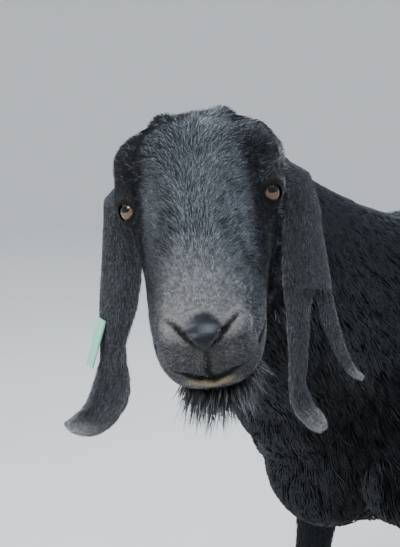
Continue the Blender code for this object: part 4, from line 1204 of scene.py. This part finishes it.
def parts_of(marks):
    """The part of the goat that each vertex belongs to."""
    x, y, _ = marks["points"].T
    part = np.full(len(x), "trunk", dtype="U9")
    part[marks["neck"] > 0.5] = "neck"
    part[marks["tail"] > 0.5] = "tail"
    for index, (side, back) in enumerate(LEGS):
        part[(marks["leg"] > 0.5) & (x * side > 0) & (y * back > 0.02 * back)] = f"leg{index}"
    part[marks["head"] > 0.5] = "head"
    part[(marks["ear"] > 0.5) & (marks["side"] > 0)] = "ear_left"
    part[(marks["ear"] > 0.5) & (marks["side"] < 0)] = "ear_right"
    return part


def unwrap(mesh, marks, part):
    """Lays the skin flat, part by part, each in a cell of its own, and stores it as OFBake."""
    points, local = marks["points"], marks["local"]
    x, y, z = points.T
    f, l, u = local.T
    off_neck = x - 0.13 * smoothstep(y, -0.3, -0.7)
    over_neck = z - 0.75 - 0.6 * np.clip(-0.3 - y, 0, 1)
    # The angle round the middle line of each part, and the share of the way along it.
    turn = {
        "trunk": np.arctan2(x, z - 0.68),
        "head": np.arctan2(l, u + 0.02),
        "neck": np.arctan2(off_neck, over_neck),
        "tail": np.arctan2(x, z - 0.86),
    }
    along = {
        "trunk": y + 0.50,
        "head": (f + 0.14) / 0.32,
        "neck": (-y - 0.25) / 0.50,
        "tail": (y - 0.48) / 0.17,
    }
    for index, (side, back) in enumerate(LEGS):
        turn[f"leg{index}"] = np.arctan2(x - 0.11 * side, y - (0.40 if back > 0 else -0.29))
        along[f"leg{index}"] = z / 0.60
    flat = {}
    for name, (corner, size) in CELLS.items():
        if name in turn:
            flat[name] = (corner, size, turn[name] / (2 * math.pi) + 0.5, np.clip(along[name], 0, 1))
    faced = np.sign(np.sum(marks["normals"] * np.array(hanging_axes()[0]), axis=1))
    for name, side in (("ear_left", 1), ("ear_right", -1)):
        corner, size = CELLS[name]
        flat[name] = (corner, size, 0.5 + 0.48 * faced * marks["across"], marks["along"])

    corners = read(mesh.loops, "vertex_index", 1, np.int64).reshape(-1, 3)
    laid = np.zeros((len(corners), 3, 2))
    first = part[corners[:, 0]]
    for name, (corner, size, around, forth) in flat.items():
        faces = np.flatnonzero(first == name)
        a = around[corners[faces]]
        a = a - np.round(a - a[:, :1]) if name in turn else a
        b = forth[corners[faces]]
        spots = cell(np.clip(a, 0, 1).ravel(), b.ravel(), corner, size)
        laid[faces] = spots.reshape(-1, 3, 2)
    layer = mesh.uv_layers.new(name="OFBake")
    layer.data.foreach_set("uv", laid.ravel())


def keep(mesh, name, values):
    """Stores numbers or directions on the vertices."""
    kind = {1: "FLOAT", 2: "FLOAT_VECTOR"}[values.ndim]
    attribute = mesh.attributes.new(name, kind, "POINT")
    attribute.data.foreach_set("value" if kind == "FLOAT" else "vector", values.ravel())


def keep_colour(mesh, name, colour):
    attribute = mesh.attributes.new(name, "FLOAT_COLOR", "POINT")
    full = np.concatenate([colour, np.ones((len(colour), 1))], axis=1)
    attribute.data.foreach_set("color", full.ravel())


def coat_region(marks, part):
    """The coat piece that each vertex belongs to, by number; the last that fits it holds."""
    x, f = marks["points"][:, 0], marks["local"][:, 0]
    places = {
        "coat_trunk_left": x >= 0,
        "coat_trunk_right": x < 0,
        "coat_neck": part == "neck",
        "coat_tail": part == "tail",
        "coat_neck_right": (part == "neck") & (x < 0.03),
        "coat_legs": np.char.startswith(part, "leg"),
        "coat_face": part == "head",
        "coat_crown": (part == "head") & (f < 0.0),
        "coat_muzzle": (part == "head") & (f > 0.105),
        "coat_ears": np.char.startswith(part, "ear"),
        "coat_beard": beard_share(marks) * marks["head"] > 0.5,
    }
    region = np.zeros(len(x))
    for name, where in places.items():
        region[where] = COATS.index(name)
    return region


def strand(shape, layers, sway, middle, lean, length, width, rings, value):
    """One closed strand that tapers to its tip: across in x, along in y, and its height in z."""
    made = []
    for index in range(rings):
        share = index / rings
        broad = width * (1 - share) ** 0.6
        across = middle + lean * share**1.3 + sway * math.sin(share * 5.0)
        height = 1.25 * math.sin(math.pi * 0.60 * share) - 0.25
        along = length * share
        marks = ((across - broad / 2, height), (across, height + 0.28), (across + broad / 2, height))
        ring = []
        for place, level in marks:
            vertex = shape.verts.new((place, along, level))
            vertex[layers["blade"]] = ((place - across) / width, share, value)
            vertex[layers["height"]] = level
            ring.append(vertex)
        made.append(ring)
    tip = shape.verts.new((middle + lean + sway * math.sin(5.0), length, 0.94))
    tip[layers["blade"]] = (0, 1, value)
    tip[layers["height"]] = 0.94
    for low, high in zip(made, made[1:]):
        for k in range(3):
            shape.faces.new((low[k], low[(k + 1) % 3], high[(k + 1) % 3], high[k]))
    for k in range(3):
        shape.faces.new((made[-1][k], made[-1][(k + 1) % 3], tip))
    shape.faces.new(made[0])


def tuft(name, strands, rings, gather, width, seed):
    """A tuft of strands, one unit long and one wide, whose heights the tree lays on the skin."""
    random = np.random.default_rng(seed)
    shape = bmesh.new()
    layers = {
        "blade": shape.verts.layers.float_vector.new("blade"),
        "height": shape.verts.layers.float.new("height"),
    }
    for index in range(strands):
        middle = (index + 0.5) / strands - 0.5 + random.uniform(-0.1, 0.1)
        lean = -middle * gather + random.uniform(-0.35, 0.35)
        length = random.uniform(0.68, 1.0)
        sway = random.uniform(-0.12, 0.12)
        broad = width * random.uniform(0.8, 1.2)
        strand(shape, layers, sway, middle, lean, length, broad, rings, random.uniform(0, 1))
    bmesh.ops.triangulate(shape, faces=shape.faces)
    bmesh.ops.recalc_face_normals(shape, faces=shape.faces)
    mesh = finished_mesh(name, shape)
    mesh.shade_smooth()
    return new_object(name, mesh)


def tuft_set(name, strands, rings, gather, width, seed):
    """A collection of tufts that vary, out of the render."""
    group = bpy.data.collections.new(name)
    for index in range(TUFT_KINDS):
        made = tuft(f"{name}_{index}", strands, rings, gather, width, seed + index)
        bpy.context.scene.collection.objects.unlink(made)
        group.objects.link(made)
    return group


class Nodes:
    """Nodes in the making, in the tree that a kind of work holds."""

    def feed(self, source, socket):
        """Links an output to an input, or gives the input a plain value."""
        if isinstance(source, bpy.types.NodeSocket):
            self.tree.links.new(source, socket)
        else:
            socket.default_value = source

    def node(self, kind, settings=(), **links):
        """Adds a node; links name its inputs by title or by number after an underscore."""
        node = self.tree.nodes.new(kind)
        for setting, value in dict(settings).items():
            setattr(node, setting, value)
        for title, source in links.items():
            title = title.replace("__", " ")
            self.feed(source, node.inputs[int(title[1:]) if title[0] == "_" else title])
        return node

    def math(self, operation, first, second):
        node = self.node("ShaderNodeMath", {"operation": operation}, _0=first, _1=second)
        return node.outputs[0]


class Tree(Nodes):
    """A Geometry Nodes tree in the making."""

    def __init__(self, name, sockets):
        self.tree = bpy.data.node_groups.new(name, "GeometryNodeTree")
        face = self.tree.interface
        face.new_socket("Geometry", in_out="OUTPUT", socket_type="NodeSocketGeometry")
        face.new_socket("Geometry", in_out="INPUT", socket_type="NodeSocketGeometry")
        self.keys = {}
        for title, kind in sockets:
            made = face.new_socket(title, in_out="INPUT", socket_type=kind)
            self.keys[title] = made.identifier
        self.inputs = self.tree.nodes.new("NodeGroupInput").outputs

    def attribute(self, name, kind="FLOAT"):
        return self.node("GeometryNodeInputNamedAttribute", {"data_type": kind}, Name=name).outputs[0]

    def scaled(self, vector, factor):
        settings = {"operation": "SCALE"}
        node = self.node("ShaderNodeVectorMath", settings, _0=vector, Scale=factor)
        return node.outputs[0]

    def added(self, first, second):
        node = self.node("ShaderNodeVectorMath", {"operation": "ADD"}, _0=first, _1=second)
        return node.outputs[0]

    def chance(self, low, high, seed):
        settings = {"data_type": "FLOAT"}
        node = self.node("FunctionNodeRandomValue", settings, _2=low, _3=high, Seed=seed)
        return node.outputs[1]

    def nearest(self, kind):
        """What a node says of the skin, read at the spot nearest to each point."""
        node = self.node(
            "GeometryNodeSampleNearestSurface",
            {"data_type": "FLOAT_VECTOR"},
            Mesh=self.inputs["Geometry"],
            Value=self.node(kind).outputs[0],
        )
        return node.outputs[0]


def coat_tree(name, hangs=False):
    """Sets tufts on one region of the skin, laid at their height over it, or left to hang."""
    numbers = ("Region", "Spacing", "Width", "Disorder", "Swirl", "Swirls Per Metre", "Patch")
    sockets = [(title, "NodeSocketFloat") for title in numbers]
    sockets += [("Seed", "NodeSocketInt"), ("Tufts", "NodeSocketCollection")]
    work = Tree(name, sockets + [("Coat", "NodeSocketMaterial")])
    given = work.inputs
    region = work.node(
        "FunctionNodeCompare",
        {"data_type": "FLOAT", "operation": "EQUAL"},
        _0=work.attribute("region"),
        _1=given["Region"],
        Epsilon=0.4,
    )
    spread = work.node(
        "GeometryNodeDistributePointsOnFaces",
        {"distribute_method": "POISSON"},
        Mesh=given["Geometry"],
        Selection=region.outputs[0],
        Distance__Min=given["Spacing"],
        Density__Max=TUFTS_AT_MOST,
        Density__Factor=work.attribute("growth"),
        Seed=given["Seed"],
    )
    lie = work.attribute("hang" if hangs else "lie", "FLOAT_VECTOR")
    stray = work.node(
        "FunctionNodeRandomValue",
        {"data_type": "FLOAT_VECTOR"},
        _0=(-1, -1, -1),
        _1=(1, 1, 1),
        Seed=SEEDS["stray"],
    )
    swirl = work.node("ShaderNodeTexNoise", (), Scale=given["Swirls Per Metre"], Detail=2.0)
    swirled = work.added(swirl.outputs["Color"], (-0.5, -0.5, -0.5))
    strayed = work.added(lie, work.scaled(stray.outputs[0], given["Disorder"]))
    strayed = work.added(strayed, work.scaled(swirled, given["Swirl"]))
    first, second = ("Y", "Z") if hangs else ("Z", "Y")
    turn = work.node("FunctionNodeAxesToRotation", {"primary_axis": first, "secondary_axis": second})
    work.feed(strayed, turn.inputs[0 if hangs else 1])
    work.feed(spread.outputs["Normal"], turn.inputs[1 if hangs else 0])
    drawn = work.chance(*LENGTHS_DRAWN["hang" if hangs else "lie"], SEEDS["length"])
    length = work.math("MULTIPLY", work.attribute("hair_length"), drawn)
    width = work.math("MULTIPLY", given["Width"], work.chance(*WIDTHS_DRAWN, SEEDS["width"]))
    size = work.node("ShaderNodeCombineXYZ", (), X=width, Y=length, Z=TUFT_THICKNESS)
    tufts = work.node(
        "GeometryNodeCollectionInfo",
        (),
        Collection=given["Tufts"],
        Separate__Children=True,
        Reset__Children=True,
    )
    settings = {"data_type": "INT"}
    which = work.node(
        "FunctionNodeRandomValue", settings, _4=0, _5=TUFT_KINDS - 1, Seed=SEEDS["kind"]
    )
    placed = work.node(
        "GeometryNodeInstanceOnPoints",
        (),
        Points=spread.outputs["Points"],
        Instance=tufts.outputs[0],
        Pick__Instance=True,
        Instance__Index=which.outputs[2],
        Rotation=turn.outputs[0],
        Scale=size.outputs[0],
    )
    real = work.node("GeometryNodeRealizeInstances", (), Geometry=placed.outputs[0])
    raised = work.node("GeometryNodeSetPosition", (), Geometry=real.outputs[0])
    if not hangs:
        height = work.math("MULTIPLY", work.attribute("height"), work.attribute("rise"))
        out = work.scaled(work.nearest("GeometryNodeInputNormal"), height)
        place = work.added(work.nearest("GeometryNodeInputPosition"), out)
        work.feed(place, raised.inputs["Position"])
    root = work.attribute("OFBake", "FLOAT_VECTOR")
    patch = work.scaled(work.attribute("blade", "FLOAT_VECTOR"), given["Patch"])
    stored = work.node(
        "GeometryNodeStoreNamedAttribute",
        {"data_type": "FLOAT2", "domain": "CORNER"},
        Geometry=raised.outputs[0],
        Name="OFBake",
        Value=work.added(root, patch),
    )
    dressed_coat = work.node(
        "GeometryNodeSetMaterial", (), Geometry=stored.outputs[0], Material=given["Coat"]
    )
    end = work.tree.nodes.new("NodeGroupOutput")
    work.feed(dressed_coat.outputs[0], end.inputs[0])
    return work


def grown_coat(name, skin, work, values):
    """Grows one piece of the coat as a plain mesh."""
    holder = new_object(name + "_root", skin.data.copy())
    grow = holder.modifiers.new("Coat", "NODES")
    grow.node_group = work.tree
    for title, value in values.items():
        grow[work.keys[title]] = value
    coat = as_mesh(holder, name)
    used = ("position", "OFBake", "coat_colour", "frost", "blade", "sharp_face")
    names = [attribute.name for attribute in coat.data.attributes]
    for title in names:
        if title not in used and not title.startswith("."):
            coat.data.attributes.remove(coat.data.attributes[title])
    return coat


class Finish(Nodes):
    """A material in the making: a Principled surface and the nodes that feed it."""

    def __init__(self, name, roughness, specular):
        self.material = bpy.data.materials.new(name)
        self.material.use_nodes = True
        self.tree = self.material.node_tree
        self.surface = self.tree.nodes["Principled BSDF"]
        self.surface.inputs["Specular IOR Level"].default_value = specular
        self.roughness(roughness)

    def place(self, scale=(1, 1, 1)):
        """Object coordinates, stretched."""
        where = self.node("ShaderNodeTexCoord")
        moved = self.node("ShaderNodeMapping", (), Vector=where.outputs["Object"])
        moved.inputs["Scale"].default_value = scale
        return moved.outputs[0]

    def noise(self, vector, scale, detail=4.0, roughness=0.55):
        settings = {"Scale": scale, "Detail": detail, "Roughness": roughness}
        return self.node("ShaderNodeTexNoise", (), Vector=vector, **settings).outputs[0]

    def ramp(self, source, *stops):
        """Turns a number into colours or numbers between stops (place, colour)."""
        node = self.node("ShaderNodeValToRGB", (), Fac=source)
        stair = node.color_ramp
        while len(stair.elements) < len(stops):
            stair.elements.new(0.5)
        for element, (spot, colour) in zip(stair.elements, stops):
            element.position = spot
            element.color = colour if len(colour) == 4 else (*colour, 1)
        return node.outputs[0]

    def mix(self, share, first, second, way="MIX"):
        node = self.node("ShaderNodeMix", {"data_type": "RGBA", "blend_type": way})
        for index, source in ((0, share), (6, first), (7, second)):
            plain = isinstance(source, tuple) and len(source) == 3
            self.feed((*source, 1) if plain else source, node.inputs[index])
        return node.outputs[2]

    def attribute(self, name, output="Color"):
        return self.node("ShaderNodeAttribute", {"attribute_name": name}).outputs[output]

    def bump(self, height, strength, distance):
        node = self.node("ShaderNodeBump", (), Height=height, Strength=strength, Distance=distance)
        self.feed(node.outputs[0], self.surface.inputs["Normal"])

    def colour(self, source):
        self.feed(source, self.surface.inputs["Base Color"])

    def roughness(self, source):
        self.feed(source, self.surface.inputs["Roughness"])


def grey(value):
    return (value, value, value)


def coat_finish():
    """Hair: each strand a little darker or paler, some frosted, with fine streaks along it."""
    coat = Finish("goat_hair", 0.46, 0.40)
    blade = coat.attribute("blade", "Vector")
    parts = coat.node("ShaderNodeSeparateXYZ", (), _0=blade)
    across, along, draw = parts.outputs
    base = coat.attribute("coat_colour")
    varied = coat.mix(1.0, base, coat.ramp(draw, (0.0, grey(0.45)), (1.0, grey(1.30))), "MULTIPLY")
    chance = coat.math("FRACT", coat.math("MULTIPLY", draw, 7.31), 0.0)
    pale = coat.math("LESS_THAN", chance, coat.attribute("frost", "Fac"))
    tip = coat.ramp(along, (0.15, grey(0.1)), (0.8, grey(0.85)))
    pale = coat.math("MULTIPLY", pale, tip)
    clumps = coat.ramp(coat.noise(coat.place(), 480.0, 2.0), (0.38, grey(0.60)), (0.62, grey(1.30)))
    coat.colour(coat.mix(1.0, coat.mix(pale, varied, coat.mix(0.6, varied, HOAR)), clumps, "MULTIPLY"))
    streak = coat.node("ShaderNodeCombineXYZ", (), X=coat.math("MULTIPLY", across, 9.0))
    coat.feed(coat.math("MULTIPLY", along, 1.2), streak.inputs["Y"])
    coat.feed(coat.math("MULTIPLY", draw, 40.0), streak.inputs["Z"])
    fine = coat.noise(streak.outputs[0], 1.0, 2.0)
    coat.bump(fine, 0.55, 0.0006)
    return coat.material


def skin_finish():
    """Dark skin under the coat, with its markings, the painted shade in its grooves, and the bare
    places of the face.
    """
    skin = Finish("goat_skin", 0.55, 0.20)
    base = skin.attribute("coat_colour")
    fine = skin.noise(skin.place(), 900.0, 4.0)
    mottled = skin.mix(1.0, base, skin.ramp(fine, (0.3, grey(0.5)), (0.7, grey(1.2))), "MULTIPLY")
    bare = skin.attribute("bare", "Fac")
    leather = skin.mix(skin.noise(skin.place(), 320.0), (0.005, 0.006, 0.009), (0.014, 0.017, 0.023))
    skin.colour(skin.mix(bare, mottled, leather))
    skin.roughness(skin.ramp(bare, (0.0, grey(0.90)), (1.0, grey(0.25))))
    cells = skin.node("ShaderNodeTexVoronoi", (), Vector=skin.place(), Scale=1300.0)
    pebbles = skin.mix(bare, skin.noise(skin.place(), 1500.0), cells.outputs["Distance"])
    skin.bump(pebbles, 0.35, 0.0003)
    return skin.material


def eye_finish():
    """A tan iris with a level bar of a pupil, painted by the place on the eye's front."""
    eye = Finish("goat_eye", 0.10, 0.30)
    parts = eye.node("ShaderNodeSeparateXYZ", (), _0=eye.attribute("eye_place", "Vector"))
    along, over, _ = parts.outputs
    radius = eye.node("ShaderNodeVectorMath", {"operation": "LENGTH"})
    flat = eye.node("ShaderNodeCombineXYZ", (), X=along, Y=over)
    eye.feed(flat.outputs[0], radius.inputs[0])
    radius = radius.outputs["Value"]
    angle = eye.math("ARCTAN2", over, along)
    rays = eye.node("ShaderNodeCombineXYZ", (), X=eye.math("MULTIPLY", angle, 5.0))
    eye.feed(eye.math("MULTIPLY", radius, 2.0), rays.inputs["Y"])
    threads = eye.noise(rays.outputs[0], 3.0, 5.0)
    tones = ((0.25, (0.070, 0.038, 0.022)), (0.55, (0.155, 0.092, 0.056)), (0.8, (0.24, 0.160, 0.108)))
    iris = eye.ramp(threads, *tones)
    edge = eye.ramp(radius, (0.56, grey(1.0)), (0.74, grey(0.15)))
    iris = eye.mix(1.0, iris, edge, "MULTIPLY")
    raised = eye.math("SUBTRACT", over, PUPIL_RISE)
    wide, tall = (
        eye.math("POWER", eye.math("ABSOLUTE", eye.math("DIVIDE", way, half), 0.0), 4.0)
        for way, half in zip((along, raised), PUPIL_HALVES)
    )
    bar = eye.math("ADD", wide, tall)
    pupil = eye.ramp(bar, (0.85, grey(0.0)), (1.0, grey(1.0)))
    painted = eye.mix(pupil, (0.004, 0.004, 0.006), iris)
    white = eye.ramp(radius, (0.70, grey(0.0)), (0.76, grey(1.0)))
    eye.colour(eye.mix(white, painted, (0.035, 0.022, 0.016)))
    return eye.material


def horn_finish():
    """Dusty dark hoof horn with growth rings."""
    horn = Finish("hoof_horn", 0.55, 0.40)
    rings = horn.noise(horn.place((30, 30, 420)), 1.0, 3.0)
    dust = horn.noise(horn.place(), 60.0, 5.0)
    dark = horn.mix(rings, (0.018, 0.016, 0.015), (0.050, 0.044, 0.038))
    share = horn.ramp(dust, (0.45, grey(0.0)), (0.70, grey(0.7)))
    horn.colour(horn.mix(share, dark, (0.13, 0.115, 0.095)))
    horn.bump(rings, 0.6, 0.0012)
    return horn.material


def tag_finish():
    tag = Finish("tag_plastic", 0.42, 0.45)
    wear = tag.noise(tag.place(), 240.0, 5.0)
    tag.colour(tag.mix(wear, (0.16, 0.47, 0.35), (0.30, 0.62, 0.48)))
    tag.bump(tag.noise(tag.place(), 900.0), 0.2, 0.0003)
    return tag.material


def floor_finish():
    floor = Finish("pale_floor", 0.85, 0.20)
    floor.colour(floor.mix(floor.noise(floor.place(), 6.0), (0.74, 0.74, 0.73), (0.78, 0.78, 0.77)))
    return floor.material


def dress(obj, material):
    obj.data.materials.clear()
    obj.data.materials.append(material)


def settle(obj):
    """Moves a mesh that was made in the making frame to where the goat stands."""
    obj.data.transform(Matrix.Translation(STAND_SHIFT))


def made_eye(side_name, side, material):
    """An eyeball that bulges before its iris, with places on it as level, up and out."""
    shape = bmesh.new()
    bmesh.ops.create_icosphere(shape, subdivisions=5, radius=1.0)
    layer = shape.verts.layers.float_vector.new("eye_place")
    turn = eye_place(side).to_3x3()
    out = turn.col[2]
    ahead = hanging_axes()[0]
    level = (ahead - out * ahead.dot(out)).normalized()
    over = (UP - out * UP.dot(out) - level * UP.dot(level)).normalized()
    for vertex in shape.verts:
        point = turn @ vertex.co
        vertex[layer] = Vector((point.dot(level), point.dot(over), point.dot(out)))
        reach = math.hypot(vertex.co.x, vertex.co.y)
        if vertex.co.z > 0:
            vertex.co.z += BULGE_HEIGHT * max(0.0, 1.0 - (reach / BULGE_REACH) ** 2)
    place = eye_place(side) @ Matrix.Scale(EYE_RADIUS - EYE_GAP, 4)
    bmesh.ops.transform(shape, matrix=place, verts=shape.verts)
    made = from_bmesh(f"eyeball_{side_name}", shape)
    made.data.shade_smooth()
    dress(made, material)
    settle(made)
    return made


def add_light(name, place, target, size, power, colour):
    lamp = bpy.data.lights.new(name, "AREA")
    lamp.shape = "DISK"
    lamp.size = size
    lamp.energy = power
    lamp.color = colour
    made = new_object(name, lamp)
    made.location = place
    made.rotation_euler = (target - place).to_track_quat("-Z", "Y").to_euler()


def pale_floor(around=96, steps=16):
    """A round floor that curves up into a wall on every side."""
    profile = [(FLOOR_RADIUS, 0.0)]
    for k in range(1, steps + 1):
        angle = math.pi / 2 * k / steps
        reach = FLOOR_RADIUS + COVE_RADIUS * math.sin(angle)
        profile.append((reach, COVE_RADIUS - COVE_RADIUS * math.cos(angle)))
    profile.append((FLOOR_RADIUS + COVE_RADIUS, WALL_HEIGHT))
    shape = bmesh.new()
    rings = []
    for radius, height in profile:
        turns = [2 * math.pi * k / around for k in range(around)]
        spots = [(radius * math.cos(turn), radius * math.sin(turn), height) for turn in turns]
        rings.append([shape.verts.new(spot) for spot in spots])
    shape.faces.new(rings[0])
    for low, high in zip(rings, rings[1:]):
        for k in range(around):
            shape.faces.new((low[k], high[k], high[(k + 1) % around], low[(k + 1) % around]))
    bmesh.ops.recalc_face_normals(shape, faces=shape.faces)
    mesh = finished_mesh("floor", shape)
    mesh.shade_smooth()
    floor = new_object("floor", mesh, Matrix.Translation((0, 0, -FLOOR_GAP)))
    dress(floor, floor_finish())


def studio():
    """The floor, and soft light from above."""
    pale_floor()
    world = bpy.data.worlds.new("studio")
    bpy.context.scene.world = world
    world.use_nodes = True
    sky = world.node_tree.nodes["Background"]
    sky.inputs["Color"].default_value = SKY
    sky.inputs["Strength"].default_value = SKY_STRENGTH
    eyes = EYES_MIDDLE + STAND_SHIFT
    ahead, left = hanging_axes()
    for name, (spot, size, power, colour) in LIGHTS.items():
        place = eyes + left * spot[0] + ahead * spot[1] + UP * spot[2]
        add_light(name, place, eyes, size, power, colour)


def photo_camera():
    turn = HEAD_TURN + math.radians(CAMERA_YAW)
    level = Vector((math.sin(turn), -math.cos(turn), 0))
    rise, pitch = math.radians(CAMERA_RISE), math.radians(CAMERA_PITCH)
    lens = bpy.data.cameras.new("photo_camera")
    lens.sensor_width = SENSOR
    lens.lens = SENSOR * FOCAL_PIXELS / IMAGE_HEIGHT
    camera = new_object("photo_camera", lens)
    out = level * math.cos(rise) + UP * math.sin(rise)
    camera.location = EYES_MIDDLE + STAND_SHIFT + out * CAMERA_DISTANCE
    look = -level * math.cos(pitch) - UP * math.sin(pitch)
    camera.rotation_euler = look.to_track_quat("-Z", "Y").to_euler()
    bpy.context.scene.camera = camera


def made_skin():
    """The skin, inside the solids by the coat's depth, with all that the coat needs stored on it."""
    skin = whole_skin()
    skin.name = "goat_skin"
    marks = skin_marks(skin)
    depth = np.full(len(marks["points"]), SKIN_DEPTH["body"])
    for part in ("leg", "head", "ear"):
        depth = toward(depth, SKIN_DEPTH[part], marks[part])
    depth += crown_share(marks) * CROWN_DEPTH
    marks["points"] = marks["points"] - marks["normals"] * depth[:, None]
    skin.data.vertices.foreach_set("co", marks["points"].ravel())

    edges = read(skin.data.edges, "vertices", 2, np.int64)
    length, rise, growth = hair_sizes(marks)
    colour, frost = coat_colours(marks)
    part = parts_of(marks)
    unwrap(skin.data, marks, part)
    keep(skin.data, "lie", unit(evened(lie_of_hair(marks), edges, 6)))
    keep(skin.data, "hang", hang_of_hair(marks))
    keep(skin.data, "hair_length", evened(length, edges, 6))
    keep(skin.data, "rise", evened(rise, edges, 6))
    keep(skin.data, "growth", growth)
    keep(skin.data, "frost", evened(frost, edges, 2))
    keep(skin.data, "bare", bare_share(marks))
    keep(skin.data, "region", coat_region(marks, part))
    keep_colour(skin.data, "coat_colour", evened(colour, edges, 2))
    skin.data.shade_smooth()
    settle(skin)
    dress(skin, skin_finish())
    return skin


def made_coats(skin):
    """Every piece of the coat, grown on the skin."""
    hair = coat_finish()
    laid, hung = coat_tree("lay_coat"), coat_tree("hang_coat", hangs=True)
    sets = {name: tuft_set(name, *values) for name, values in TUFTS.items()}
    coats = []
    for index, name in enumerate(COATS):
        kind, spacing, width, disorder, swirl, swirls = COAT_SIZES[name]
        values = {
            "Region": float(index),
            "Spacing": spacing,
            "Width": width,
            "Disorder": disorder,
            "Swirl": swirl,
            "Swirls Per Metre": swirls,
            "Patch": TUFT_PATCH,
            "Seed": SEEDS["roots"] + index,
            "Tufts": sets[kind],
            "Coat": hair,
        }
        coats.append(grown_coat(name, skin, hung if name == "coat_beard" else laid, values))
        dress(coats[-1], hair)
    for group in sets.values():
        for made in list(group.objects):
            bpy.data.objects.remove(made)
        bpy.data.collections.remove(group)
    for title in ("lie", "hang", "hair_length", "rise", "growth", "region"):
        skin.data.attributes.remove(skin.data.attributes[title])
    return coats


skin = made_skin()
for piece in [skin] + made_coats(skin):
    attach(piece, "root")
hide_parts(*FLESH)

iris = eye_finish()
for side_name, side in SIDES.items():
    eye = made_eye(side_name, side, iris)
    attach(eye, "root")
    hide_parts(f"eye_{side_name}")

horn = horn_finish()
for node_name, node in frame["nodes"].items():
    if node_name.startswith(("hoof", "dewclaw")):
        dress(node, horn)
dress(frame["nodes"]["ear_tag"], tag_finish())

studio()
photo_camera()
